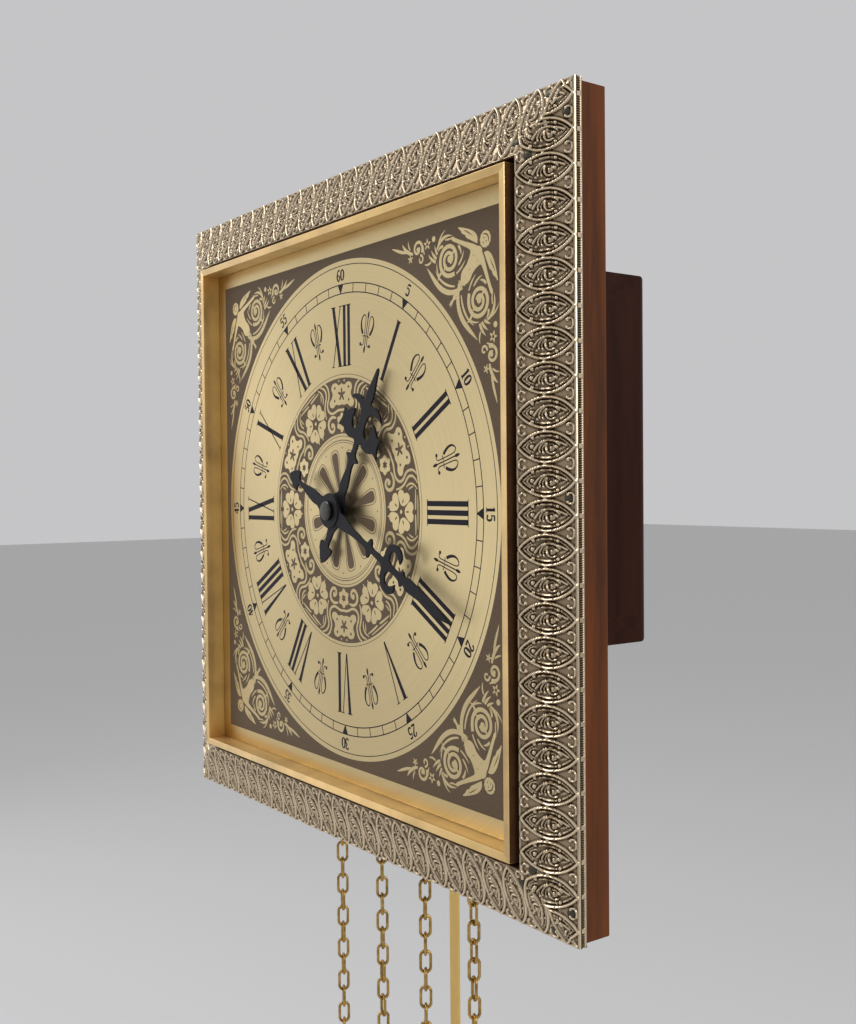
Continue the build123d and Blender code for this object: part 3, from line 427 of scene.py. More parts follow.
def place_piece(name, mesh, material, body, replaced=()):
    """Link a finished mesh as a piece of the clock."""
    piece = bpy.data.objects.new(name, mesh)
    bpy.context.scene.collection.objects.link(piece)
    for item in material if isinstance(material, (list, tuple)) else [material]:
        mesh.materials.append(finish(item))
    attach(piece, body)
    if replaced:
        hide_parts(*replaced)
    return piece


def dress(material, *nodes):
    """Give frame nodes that keep their shape a finish."""
    for node in nodes:
        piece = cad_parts[node]
        if not piece.material_slots:
            piece.data.materials.append(None)
        for slot in piece.material_slots:
            slot.material = finish(material)


def bm_mesh(name, bm, smooth=None):
    """Close a bmesh into a mesh in metres, smooth below an angle in degrees."""
    bmesh.ops.recalc_face_normals(bm, faces=bm.faces)
    bmesh.ops.scale(bm, vec=(MM, MM, MM), verts=bm.verts)
    if smooth is not None:
        for face in bm.faces:
            face.smooth = True
        for edge in bm.edges:
            if len(edge.link_faces) == 2:
                edge.smooth = edge.calc_face_angle(0.0) < radians(smooth)
    mesh = bpy.data.meshes.new(name)
    bm.to_mesh(mesh)
    bm.free()
    return mesh


def verts_in(made):
    """Vertices among what an operator made."""
    return [item for item in made["geom"] if isinstance(item, bmesh.types.BMVert)]


def add_copy(bm, shape, place):
    """Add a placed copy of a shape to a bmesh."""
    loose = bpy.data.meshes.new("copy")
    shape.to_mesh(loose)
    loose.transform(place)
    bm.from_mesh(loose)
    bpy.data.meshes.remove(loose)


def turned_bm(profile, steps, axis, centre):
    """Spin an outline of (radius, height) points right round an axis."""
    bm = bmesh.new()
    side = Vector((0, 0, 1)) if axis.y else Vector((1, 0, 0))
    verts = [bm.verts.new(centre + side * radius + axis * height) for radius, height in profile]
    edges = [bm.edges.new(pair) for pair in zip(verts, verts[1:])]
    bmesh.ops.spin(bm, geom=verts + edges, cent=centre, axis=axis, angle=2 * pi, steps=steps, use_merge=True)
    bmesh.ops.remove_doubles(bm, verts=bm.verts, dist=NEAR)
    return bm


def mitred_bm(section, half):
    """Bar along the top with a section of (Y, height) points, cut on both diagonals."""
    bm = bmesh.new()
    face = bm.faces.new([bm.verts.new((-half, y, height)) for y, height in section])
    grown = bmesh.ops.extrude_face_region(bm, geom=[face])
    bmesh.ops.translate(bm, vec=(2 * half, 0, 0), verts=verts_in(grown))
    cut_mitres(bm)
    bmesh.ops.holes_fill(bm, edges=[edge for edge in bm.edges if edge.is_boundary], sides=0)
    return bm


def cut_mitres(bm):
    """Cut a strip of the top on both diagonals."""
    for sign in (-1, 1):
        bmesh.ops.bisect_plane(bm, geom=bm.verts[:] + bm.edges[:] + bm.faces[:], plane_co=(0, 0, 0),
                               plane_no=(sign, 0, -1), clear_outer=True)


def long_edges(bm, keep):
    """Edges along X whose middle passes a test of (Y, height)."""
    found = []
    for edge in bm.edges:
        run = edge.verts[1].co - edge.verts[0].co
        middle = (edge.verts[1].co + edge.verts[0].co) / 2
        if abs(run.x) > 0.9 * run.length and keep(middle.y, middle.z):
            found.append(edge)
    return found


def mitre_edges(bm):
    """Edges that lie on a diagonal cut."""
    return [edge for edge in bm.edges if all(abs(abs(vert.co.x) - vert.co.z) < NEAR for vert in edge.verts)]


def soften(bm, edges, width, segments=3):
    """Round some edges."""
    bmesh.ops.bevel(bm, geom=edges, offset=width, offset_type="OFFSET", segments=segments, profile=0.5,
                    affect="EDGES", material=-1)


def side_matrix(side):
    """Turn from the top to another side."""
    return Matrix.Rotation(radians(SIDE_TURN[side]), 4, "Y")


def turn_side(bm, side):
    """Turn a strip made for the top to another side."""
    bmesh.ops.transform(bm, matrix=side_matrix(side), verts=bm.verts)


# Stamped surround; the pattern is drawn in (up, across) points about the middle of an almond, and its
# levels run from 0 in the grooves to 1 on the crests

STRIP_MARGINS = (0.6, 0.7)
GROUND_LEVEL = 0.10
ALMOND_GAP, ALMOND_FLOOR, RIM_HALF = 0.72, 0.5, 0.58
LINE_INSET, LINE_HALF, LINE_LEVEL = 1.55, 0.36, 0.62
PEARL_LEVEL, PEARL_CLEAR = 0.9, 1.25
CURL_HALF, CURL_LEVEL = 0.42, 0.85
BALL_RADIUS, BALL_LEVEL = 0.72, 0.9
STUD_RADIUS, STUD_SHIFT = 0.7, 0.6
BAND_INNER, BAND_OUTER, BAND_LEVEL = 0.5, 0.9, 0.5
BLUR = 3
# Tone of the stamped metal: painted shade in the grooves and inside the almonds, a painted highlight on the
# crests
TONE_BASE, TONE_LEVEL, TONE_ALMOND = 0.46, 0.2, 0.10
CELL_STEPS, STRIP_ROWS = 36, 76
SHEET, EDGE_CLEAR = 0.5, 0.02
EDGE_ROLL, ROLL_START, ROLL_END, FOLD_START = 0.9, 0.6, 0.7, 0.3
EDGE_RISE, EDGE_TONE = 3.0, 0.8
RIB_SAMPLES, RIBS, RIB_ROWS, RIB_DEPTH = 4, 15, (2, 3), 0.7
FOLD_STATIONS = (0.0, 0.14, 0.2, 0.66, 0.74, 1.0)
# Tones of the side fold; the ribs darken towards their grooves as painted shade
PLAIN_TONE, RIB_TONE = 0.72, 0.5
PIN_RADIUS, PIN_FLATNESS = 1.9, 0.48
LEAF_STROKES = [
    ([(-1.1, 7.9), (0.5, 9.3), (1.9, 11.1), (2.6, 13.6), (2.45, 16.1), (1.7, 17.9), (0.7, 19.0)],
     0.46, 0.95),
    ([(-2.1, 10.4), (-0.5, 10.2), (1.1, 11.3), (1.9, 12.9)], 0.42, 0.8),
    ([(-2.4, 12.0), (-0.8, 11.6), (0.5, 12.2), (1.3, 13.3)], 0.36, 0.7),
    ([(1.3, 13.4), (-0.5, 13.1), (-2.1, 13.7), (-2.8, 15.2), (-2.4, 17.2)], 0.46, 0.85),
    ([(0.7, 15.0), (0.9, 16.4), (-0.4, 17.0), (-1.7, 16.2), (-1.5, 14.9)], 0.34, 0.7),
    ([(1.75, 18.4), (1.3, 20.0), (0.3, 22.2)], 0.52, 0.9),
    ([(-1.2, 18.6), (-0.8, 20.2), (0.1, 22.2)], 0.28, 0.45),
    ([(1.9, 7.7), (1.4, 5.6), (0.0, 4.3), (-1.4, 5.6), (-2.1, 7.4)], 0.34, 0.6),
]
LEAF_PEARLS = [
    (0.1, 6.9, 1.05),
    (-0.5, 15.6, 0.85),
    (-0.1, 17.8, 0.75),
    (-2.6, 9.3, 0.55),
    (3.55, 7.1, 0.82),
    (3.55, 18.2, 0.82),
    (-3.55, 7.1, 0.82),
    (-3.55, 18.2, 0.82),
]
OUTER_CURL = [(1.45, 22.7), (2.3, 23.5), (1.6, 25.2), (0.0, 25.5), (-1.6, 25.2), (-2.3, 23.5), (-1.45, 22.7)]
INNER_CURL = [(1.35, 3.5), (2.2, 2.4), (1.3, 0.9), (0.0, 0.75), (-1.3, 0.9), (-2.2, 2.4), (-1.35, 3.5)]


def rounded(points):
    """Line through points with its corners cut twice."""
    for repeat in range(2):
        fresh = [points[0]]
        for (a, b), (c, d) in zip(points, points[1:]):
            fresh += [(0.75 * a + 0.25 * c, 0.75 * b + 0.25 * d), (0.25 * a + 0.75 * c, 0.25 * b + 0.75 * d)]
        points = fresh + [points[-1]]
    return points


def ridge(distance, half, height):
    """Half-round ridge over a distance from its line."""
    return height * np.sqrt(np.clip(1.0 - (distance / half) ** 2, 0.0, None))


def line_distance(up, across, points):
    """Distance to a line through points."""
    nearest = np.full(up.shape, 1e9)
    points = rounded(points)
    for (a, b), (c, d) in zip(points, points[1:]):
        x, y = c - a, d - b
        share = np.clip(((up - a) * x + (across - b) * y) / (x * x + y * y), 0.0, 1.0)
        np.minimum(nearest, np.hypot(up - a - share * x, across - b - share * y), out=nearest)
    return nearest


def almond_inset(up, across, middle, half_length, half_height):
    """Distance inside the pointed oval of two arcs, negative outside."""
    radius = (half_length ** 2 + half_height ** 2) / (2 * half_height)
    upper = radius - np.hypot(up - (half_height - radius), across - middle)
    lower = radius - np.hypot(up + (half_height - radius), across - middle)
    return np.minimum(upper, lower)


def stamped_height(up, across, pitch, width):
    """Height from 0 to 1 of the stamped pattern round one almond, and where that almond is."""
    first, last = STRIP_MARGINS[0], width - STRIP_MARGINS[1]
    middle = (first + last) / 2
    height = np.full(up.shape, GROUND_LEVEL)
    almond = np.zeros(up.shape, bool)

    def raise_to(value):
        np.maximum(height, value, out=height)

    for step in (-pitch, 0.0, pitch):
        rise = up + step
        inset = almond_inset(rise, across, middle, (last - first) / 2, pitch / 2 - ALMOND_GAP)
        almond |= inset > ALMOND_FLOOR
        clear = np.ones(up.shape, bool)
        for spot_up, spot_across, radius in LEAF_PEARLS:
            distance = np.hypot(rise - spot_up, across - spot_across)
            raise_to(ridge(distance, radius, PEARL_LEVEL))
            clear &= distance > PEARL_CLEAR
        raise_to(ridge(np.abs(inset), RIM_HALF, 1.0))
        raise_to(np.where(clear, ridge(np.abs(inset - LINE_INSET), LINE_HALF, LINE_LEVEL), 0.0))
        for points, half, tall in LEAF_STROKES:
            raise_to(ridge(line_distance(rise, across, points), half, tall))
        gap = rise - pitch / 2
        for points in (OUTER_CURL, INNER_CURL):
            raise_to(ridge(line_distance(gap, across, points), CURL_HALF, CURL_LEVEL))
            for end in (points[0], points[-1]):
                raise_to(ridge(np.hypot(gap - end[0], across - end[1]), BALL_RADIUS, BALL_LEVEL))
        raise_to(ridge(np.hypot(gap, across - middle + STUD_SHIFT), STUD_RADIUS, 1.0))
    raise_to(np.where((across < BAND_INNER) | (across > width - BAND_OUTER), BAND_LEVEL, 0.0))
    return height, almond


def stamped_cell(pitch, width, across):
    """Heights over one almond and its gap, and a tone that is low in grooves and high on crests, as painted
    shade and a painted highlight.
    """
    up, reach = np.meshgrid(np.arange(CELL_STEPS) * -pitch / CELL_STEPS, across, indexing="ij")
    up = np.mod(up + pitch / 2, pitch) - pitch / 2
    height, almond = stamped_height(up, reach, pitch, width)
    total, count = np.zeros(height.shape), 0
    for i in range(-BLUR, BLUR + 1):
        for j in range(-BLUR, BLUR + 1):
            if i * i + j * j <= BLUR * BLUR:
                total += np.roll(height, (i, j), (0, 1))
                count += 1
    # Painted shade where the height sinks below its blurred neighbours and inside the almond, a painted
    # highlight where it stands above them
    shade_tone = TONE_BASE + (height - total / count) + TONE_LEVEL * height - TONE_ALMOND * almond
    return height, np.clip(shade_tone, 0.0, 1.0)


def numpy_places(mesh):
    """Vertex places of a mesh as rows."""
    places = np.empty(len(mesh.vertices) * 3, np.float32)
    mesh.vertices.foreach_get("co", places)
    return places.reshape(-1, 3).astype(float)


def stamped_strip(sizes):
    """Stamped strip of the top: patterned face, rolled edge and ribbed side, with a closed back."""
    half = FASCIA_HIGH.x
    width, cant, fold = sizes.fascia_width, sizes.fascia_cant, sizes.side_fold
    pitch, slant = 2 * half / sizes.motif_count, hypot(width, cant)
    edge_y, roll = FASCIA_HIGH.y - fold, EDGE_ROLL
    columns = sizes.motif_count * CELL_STEPS
    bm = bmesh.new()
    bmesh.ops.create_grid(bm, x_segments=columns, y_segments=STRIP_ROWS, size=1.0)
    mesh = bpy.data.meshes.new("strip")
    bm.to_mesh(mesh)
    bm.free()
    grid = numpy_places(mesh)
    column = np.rint(grid[:, 0] * columns / 2).astype(int) % CELL_STEPS
    row = np.rint((grid[:, 1] + 1) / 2 * STRIP_ROWS).astype(int)
    run = np.linspace(0.0, slant + ROLL_END * roll, STRIP_ROWS + 1)
    face = np.minimum(run, slant - ROLL_START * roll)
    over = (run - face) / roll
    cell_height, cell_shade_tone = stamped_cell(pitch, slant, face)
    flatten = np.clip(1 - over, 0, 1)
    height = cell_height[column, row] * flatten[row] * sizes.relief
    shade_tone = np.maximum(cell_shade_tone[column, row], np.clip(over[row] * EDGE_RISE, 0.0, EDGE_TONE))
    slope = np.array([cant, width]) / slant
    face, over = face[row], over[row]
    depth = edge_y - cant + face * slope[0] - height * slope[1]
    reach = half - width + face * slope[1] + height * slope[0]
    depth += roll * (np.sin(over) * slope[0] + (1 - np.cos(over)) * slope[1])
    reach += roll * (np.sin(over) * slope[1] - (1 - np.cos(over)) * slope[0])
    reach = np.minimum(reach, half - EDGE_CLEAR)
    placed = np.column_stack([grid[:, 0] * half, depth, reach])
    mesh.vertices.foreach_set("co", placed.astype(np.float32).ravel())
    # The relief attribute carries the tone of painted shade and highlight, not the height
    mesh.attributes.new("relief", "FLOAT", "POINT").data.foreach_set("value", shade_tone.astype(np.float32))
    bm = bmesh.new()
    bm.from_mesh(mesh)
    bpy.data.meshes.remove(mesh)
    ribbed_fold(bm, half, edge_y + FOLD_START * roll, fold - FOLD_START * roll, pitch)
    cut_mitres(bm)
    rim = [edge for edge in bm.edges if edge.is_boundary]
    grown = bmesh.ops.extrude_edge_only(bm, edges=rim)
    bmesh.ops.translate(bm, vec=(0, SHEET, -SHEET), verts=verts_in(grown))
    bmesh.ops.holes_fill(bm, edges=[edge for edge in bm.edges if edge.is_boundary], sides=0)
    return bm


def ribbed_fold(bm, half, front, fold, pitch):
    """Fold of metal round the side: a row of fine ribs between two plain bands."""
    rows, columns = len(FOLD_STATIONS) - 1, int(round(2 * half / pitch)) * RIBS * RIB_SAMPLES
    made = bmesh.ops.create_grid(bm, x_segments=columns, y_segments=rows, size=1.0)["verts"]
    layer = bm.verts.layers.float["relief"]
    for vert in made:
        number = int(round(vert.co.x * columns / 2))
        row = int(round((vert.co.y + 1) / 2 * rows))
        plain = row not in RIB_ROWS or abs((number / RIB_SAMPLES + RIBS / 2) % RIBS - RIBS / 2) < 1.0
        gap = 0.0 if plain else 0.5 - 0.5 * cos(2 * pi * number / RIB_SAMPLES)
        depth, reach = front + FOLD_STATIONS[row] * fold, half - EDGE_CLEAR - RIB_DEPTH * gap
        vert.co = Vector((vert.co.x * half, depth, reach))
        # Tone falls in the rib grooves as painted shade
        vert[layer] = PLAIN_TONE if plain else RIB_TONE * (1 - gap)


def pin_heads(sizes):
    """Flat-domed heads of the pins of the top strip, on its canted face."""
    half = FASCIA_HIGH.x
    width, cant = sizes.fascia_width, sizes.fascia_cant
    pitch = 2 * half / sizes.motif_count
    inner, outer = (sizes.motif_count - 4) / 2 * pitch, (sizes.motif_count - 2) / 2 * pitch
    low, high = half - width + sizes.pin_inner, half - sizes.pin_outer
    edge_y = FASCIA_HIGH.y - sizes.side_fold
    lean = Matrix.Rotation(pi / 2 - atan2(cant, width), 4, "X")
    bm = bmesh.new()
    for along, height in ((-inner, low), (inner, low), (-outer, high), (outer, high), (-pitch / 2, high)):
        depth = edge_y - (half - height) * cant / width
        spot = Matrix.Translation((along, depth, height)) @ lean @ Matrix.Diagonal((1, 1, PIN_FLATNESS, 1))
        bmesh.ops.create_uvsphere(bm, u_segments=24, v_segments=10, radius=PIN_RADIUS, matrix=spot)
    return bm


class CLOCK_OT_surround(bpy.types.Operator):
    """Stamp the four metal strips of the surround and set their pins"""

    bl_idname = "clock.surround"
    bl_label = "Surround"

    def execute(self, context):
        sizes = measures()
        strip, heads, pins = stamped_strip(sizes), pin_heads(sizes), bmesh.new()
        for side in SIDE_TURN:
            name, copy = "stamped_" + side, strip.copy()
            turn_side(copy, side)
            mesh = bm_mesh(name, copy, 60.0)
            place_piece(name, mesh, "stamped_metal", "case", ["fascia_" + side])
            add_copy(pins, heads, side_matrix(side))
        strip.free()
        heads.free()
        mesh = bm_mesh("pin_heads", pins, 50.0)
        place_piece("pin_heads", mesh, "pin_steel", "case", ["fascia_pins"])
        return {"FINISHED"}


# Wood and slips

EDGE_NEAR, BOARD_CLEAR = 0.1, 0.1
RAIL_ROUND, SLIP_ROUND, MITRE_ROUND = 0.9, 0.45, 0.13


class CLOCK_OT_woodwork(bpy.types.Operator):
    """Make the wooden rails and finish the case behind the dial"""

    bl_idname = "clock.woodwork"
    bl_label = "Woodwork"

    def execute(self, context):
        sizes = measures()
        cant = sizes.fascia_cant / sizes.fascia_width
        outer, back = RAIL_HIGH.z, RAIL_HIGH.y
        inner, lip = RAIL_LOW.z, BOARD_HIGH.x + BOARD_CLEAR
        board_back = BOARD_HIGH.y
        for side in SIDE_TURN:
            section = [
                (back, outer),
                (back, inner),
                (board_back, inner),
                (board_back, lip),
                (RAIL_LOW.y, lip),
                (RAIL_LOW.y + cant * (outer - BOARD_HIGH.x), outer),
            ]
            bm = mitred_bm(section, 2 * outer)
            soften(bm, long_edges(bm, lambda y, z: y > back - EDGE_NEAR), RAIL_ROUND)
            turn_side(bm, side)
            grain = "mahogany_level" if side in ("top", "bottom") else "mahogany_upright"
            mesh = bm_mesh("rail_" + side, bm, 35.0)
            place_piece("wood_rail_" + side, mesh, grain, "case", ["rail_" + side])
        dress("case_level", "case_top", "case_bottom")
        dress("case_upright", "case_left", "case_right", "rear_cover")
        dress("board", "dial_board")
        dress("steel", "hanger_plate", "cover_screws")
        return {"FINISHED"}


class CLOCK_OT_bezel(bpy.types.Operator):
    """Make the four gilt slips that stand round the dial"""

    bl_idname = "clock.bezel"
    bl_label = "Bezel"

    def execute(self, context):
        front, back = BEZEL_LOW.y, BEZEL_HIGH.y
        inner, outer = BEZEL_LOW.z, BEZEL_HIGH.z
        for side in SIDE_TURN:
            bm = mitred_bm([(front, inner), (front, outer), (back, outer), (back, inner)], 2 * outer)
            soften(bm, mitre_edges(bm), MITRE_ROUND, 1)
            soften(bm, long_edges(bm, lambda y, z: y < front + EDGE_NEAR), SLIP_ROUND)
            bmesh.ops.recalc_face_normals(bm, faces=bm.faces)
            for face in bm.faces:
                face.material_index = 1 if face.normal.z > 0.9 else 0
            turn_side(bm, side)
            node = "bezel_" + side
            mesh = bm_mesh(node, bm, 40.0)
            place_piece("gilt_slip_" + side, mesh, ["gilt", "raw_wood"], "case", [node])
        return {"FINISHED"}


# Printing on the dial; strokes are (points, widths, kind) drawn in X and Z

SMOOTH, STRAIGHT, CLOSED = "smooth", "straight", "closed"
LEAF_START, LEAF_TIP = 0.12, 0.12
SCROLL_STEP = 28
DOT_SHARES = (-1.0, -0.86, -0.5, 0.0, 0.5, 0.86, 1.0)
DOT_END = 0.06


def polar(radius, angle):
    """Point at a clockwise angle in degrees from twelve."""
    return radius * sin(radians(angle)), radius * cos(radians(angle))


def turned(points, angle):
    """Points turned clockwise about the arbor."""
    c, s = cos(radians(angle)), sin(radians(angle))
    return [(x * c + y * s, y * c - x * s) for x, y in points]


def arc_points(centre, start_r, end_r, start, sweep, count):
    """Points on an arc or spiral, bearings in degrees from X."""
    points = []
    for number in range(count):
        share = number / (count - 1)
        radius = start_r + share * (end_r - start_r)
        angle = radians(start + share * sweep)
        points.append((centre[0] + radius * cos(angle), centre[1] + radius * sin(angle)))
    return points


def rim_points(radius, count):
    """Points all round a circle about the arbor."""
    return arc_points((0, 0), radius, radius, 0, 360.0 * (count - 1) / count, count)


def stroke(points, widths):
    """Smooth stroke with a width at each point."""
    return points, widths, SMOOTH


def line(start, end, width):
    """Straight stroke."""
    return [start, end], [width, width], STRAIGHT


def leaf(points, width, root=0.3):
    """Stroke that swells in the middle and ends in a point."""
    last = len(points) - 1
    swell = [sin(pi * min(1.0, LEAF_START + (1 - LEAF_START) * number / last)) for number in range(last)]
    return stroke(points, [root + (width - root) * share for share in swell] + [LEAF_TIP])


def leaf_ring(count, reach, width, root):
    """Small leaves round a point, each through some distances from it."""
    turns = [360 / count * number for number in range(count)]
    return [leaf([polar(radius, turn) for radius in reach], width, root) for turn in turns]


def scroll(centre, start_r, end_r, start, sweep, width, end_width):
    """Spiral stroke of changing width."""
    count = max(6, int(abs(sweep) / SCROLL_STEP))
    widths = [width + (end_width - width) * number / (count - 1) for number in range(count)]
    return stroke(arc_points(centre, start_r, end_r, start, sweep, count), widths)


def circle(radius, width, count=160):
    """Closed ring about the arbor."""
    return rim_points(radius, count), [width] * count, CLOSED


def dot(spot, radius):
    """Round dot, drawn as a short swelling stroke."""
    points = [(spot[0] + share * radius, spot[1]) for share in DOT_SHARES]
    widths = [2 * radius * max(DOT_END, (1 - share * share) ** 0.5) for share in DOT_SHARES]
    return points, widths, STRAIGHT


def moved(strokes, turn=0.0, shift=(0.0, 0.0), flip=False, swap=False):
    """Copies of strokes, flipped left to right or over the diagonal, then shifted and turned clockwise."""
    made = []
    for points, widths, kind in strokes:
        if swap:
            points = [(y, x) for x, y in points]
        if flip:
            points = [(-x, y) for x, y in points]
        points = [(x + shift[0], y + shift[1]) for x, y in points]
        made.append((turned(points, turn), widths, kind))
    return made


def both_sides(strokes):
    """Strokes with their mirror images."""
    return strokes + moved(strokes, flip=True)


def resized(strokes, weight, size=1.0):
    """Strokes with heavier lines, drawn larger about the arbor."""
    made = []
    for points, widths, kind in strokes:
        made.append(([(size * x, size * y) for x, y in points], [weight * width for width in widths], kind))
    return made


STROKE_LEVELS, LEVEL_GAP, LEVEL_STEP = 8, 100.0, 0.04


def drawn_mesh(curve):
    """Mesh of a curve, which is then thrown away."""
    drawn = bpy.data.objects.new(curve.name, curve)
    bpy.context.scene.collection.objects.link(drawn)
    bpy.context.view_layer.update()
    mesh = bpy.data.meshes.new_from_object(drawn.evaluated_get(bpy.context.evaluated_depsgraph_get()))
    bpy.data.objects.remove(drawn)
    bpy.data.curves.remove(curve)
    return mesh


def flat_strokes(name, strokes, back, front, soft=0.15):
    """Mesh of strokes pressed flat between two depths, each a hair deeper than the one drawn before it."""
    curve = bpy.data.curves.new(name, "CURVE")
    curve.dimensions = "3D"
    curve.twist_mode = "Z_UP"
    curve.bevel_depth = 1.0
    curve.bevel_resolution = 1
    curve.use_fill_caps = True
    curve.resolution_u = 4
    for number, (points, widths, kind) in enumerate(strokes):
        spline = curve.splines.new("NURBS" if kind == SMOOTH else "POLY")
        spline.points.add(len(points) - 1)
        for point, (x, y), width in zip(spline.points, points, widths):
            point.co = (x, y, LEVEL_GAP * (number % STROKE_LEVELS), 1.0)
            point.radius = width / 2
        if kind == SMOOTH:
            spline.order_u = min(4, len(points))
            spline.use_endpoint_u = True
        spline.use_cyclic_u = kind == CLOSED
        spline.use_smooth = False
    mesh = drawn_mesh(curve)
    places = numpy_places(mesh)
    level = np.rint(places[:, 2] / LEVEL_GAP)
    lift = np.clip((places[:, 2] - LEVEL_GAP * level) / soft, -1.0, 1.0)
    middle, half = (front + back) / 2, (back - front) / 2
    depth = middle - lift * half * (1.0 - LEVEL_STEP * level)
    laid = np.column_stack([places[:, 0], depth, places[:, 1]]) * MM
    mesh.vertices.foreach_set("co", laid.astype(np.float32).ravel())
    mesh.name = name
    return mesh


def filled_curve(name, loops, thickness):
    """Flat curve whose closed loops of points bound an area of some thickness."""
    curve = bpy.data.curves.new(name, "CURVE")
    curve.dimensions = "2D"
    curve.fill_mode = "BOTH"
    curve.extrude = thickness / 2
    for points in loops:
        spline = curve.splines.new("POLY")
        spline.points.add(len(points) - 1)
        for point, (x, y) in zip(spline.points, points):
            point.co = (x, y, 0.0, 1.0)
        spline.use_cyclic_u = True
        spline.use_smooth = False
    return curve


def stood_up(name, flat, middle, turn=0.0, smooth=None):
    """Turn a flat mesh clockwise, stand it up at a depth and merge its seams."""
    bm = bmesh.new()
    bm.from_mesh(flat)
    bpy.data.meshes.remove(flat)
    bmesh.ops.remove_doubles(bm, verts=bm.verts, dist=NEAR)
    stand = Matrix.Translation((0, middle, 0)) @ Matrix.Rotation(pi / 2, 4, "X")
    bmesh.ops.transform(bm, matrix=stand @ Matrix.Rotation(-turn, 4, "Z"), verts=bm.verts)
    return bm_mesh(name, bm, smooth)


def flat_shape(name, loops, back, front):
    """Mesh of an area inside closed loops of points, between two depths."""
    return stood_up(name, drawn_mesh(filled_curve(name, loops, back - front)), (front + back) / 2)


def flat_bars(name, bars, back, front):
    """Mesh of four-cornered bars between two depths."""
    bm = bmesh.new()
    for corners in bars:
        bm.faces.new([bm.verts.new((x, back, z)) for x, z in corners])
    grown = bmesh.ops.extrude_face_region(bm, geom=bm.faces[:])
    bmesh.ops.translate(bm, vec=(0, front - back, 0), verts=verts_in(grown))
    return bm_mesh(name, bm)


LAYER_OVERLAP = 0.4


def print_layer(sizes, number):
    """Back and front of a printed layer, counted up from the dial."""
    depth = sizes.print_depth
    return DIAL_FRONT - (number - LAYER_OVERLAP) * depth, DIAL_FRONT - (number + 1) * depth


# Hour numerals

STEM, HAIR, SERIF, LETTER_GAP = 2.35, 0.65, 0.42, 1.6
FOOT = (-0.75, STEM + 0.75)
BOTTOM, TOP = 0, 1
# Each letter has bars (left, right below; left, right above), feet (left, right, end) and a width
LETTERS = {
    "I": ([(0.0, STEM, 0.0, STEM)], [(*FOOT, BOTTOM), (*FOOT, TOP)], STEM),
    "V": ([(3.5, 4.4, 0.0, 2.5), (3.9, 4.4, 7.2, 7.2 + HAIR)], [(-0.8, 3.3, TOP), (6.3, 8.8, TOP)], 7.9),
    "X": ([(6.0, 8.5, 0.0, 2.5), (0.5, 0.5 + HAIR, 7.4, 7.4 + HAIR)],
          [(-0.8, 3.3, TOP), (6.5, 9.0, TOP), (-0.4, 2.0, BOTTOM), (5.2, 9.3, BOTTOM)], 8.5),
}


def bar(x0, x1, x2, x3, bottom, top):
    """Bar from x0 to x1 at the bottom and from x2 to x3 at the top."""
    return [(x0, bottom), (x1, bottom), (x3, top), (x2, top)]


def numeral_bars(letters, bottom, top):
    """Bars of a Roman numeral about the middle line, and its thin end strokes."""
    bars, x = [], 0.0
    for letter in letters:
        stems, feet, wide = LETTERS[letter]
        drawn = [bar(*edges, bottom, top) for edges in stems]
        for left, right, end in feet:
            low = top - SERIF if end == TOP else bottom
            drawn.append(bar(left, right, left, right, low, low + SERIF))
        bars += [[(a + x, b) for a, b in corners] for corners in drawn]
        x += wide + LETTER_GAP
    middle = (x - LETTER_GAP) / 2
    return [[(a - middle, b) for a, b in corners] for corners in bars]


TRACK_LINE, TRACK_RING, DISC_RING, DISC_INSET = 0.24, 0.52, 0.4, 2.5
WEDGE_POINT, WEDGE_HALF, WEDGE_PAST = 0.1, 2.5, 0.2
HOURS = ["XII", "I", "II", "III", "IIII", "V", "VI", "VII", "VIII", "IX", "X", "XI"]


class CLOCK_OT_numerals(bpy.types.Operator):
    """Print the hour numerals, the minute track and its numbers"""

    bl_idname = "clock.numerals"
    bl_label = "Numerals"

    def execute(self, context):
        sizes = measures()
        back, front = print_layer(sizes, 0)
        bars = []
        for number, letters in enumerate(HOURS):
            drawn = numeral_bars(letters, sizes.numeral_inner, sizes.numeral_outer)
            bars += [turned(corners, 30 * number) for corners in drawn]
        outer, inner = sizes.track_outer, sizes.track_inner
        for minute in range(60):
            if minute % 5:
                mark = bar(-TRACK_LINE, TRACK_LINE, -TRACK_LINE, TRACK_LINE, inner, outer)
            else:
                mark = bar(-WEDGE_POINT, WEDGE_POINT, -WEDGE_HALF, WEDGE_HALF, inner - WEDGE_PAST, outer)
            bars.append(turned(mark, 6 * minute))
        place_piece("hour_numerals", flat_bars("hour_numerals", bars, back, front), "ink", "case")
        strokes = [circle(outer, TRACK_RING), circle(inner, TRACK_RING)]
        strokes.append(circle(sizes.disc_radius - DISC_INSET, DISC_RING))
        for number in range(1, 13):
            strokes += minute_number(str(5 * number), sizes.number_radius, 30 * number)
        for number in range(12):
            strokes += moved(half_hour_mark(), turn=15 + 30 * number, shift=(0, sizes.mark_radius))
        place_piece("minute_print", flat_strokes("minute_print", strokes, back, front), "ink", "case")
        return {"FINISHED"}


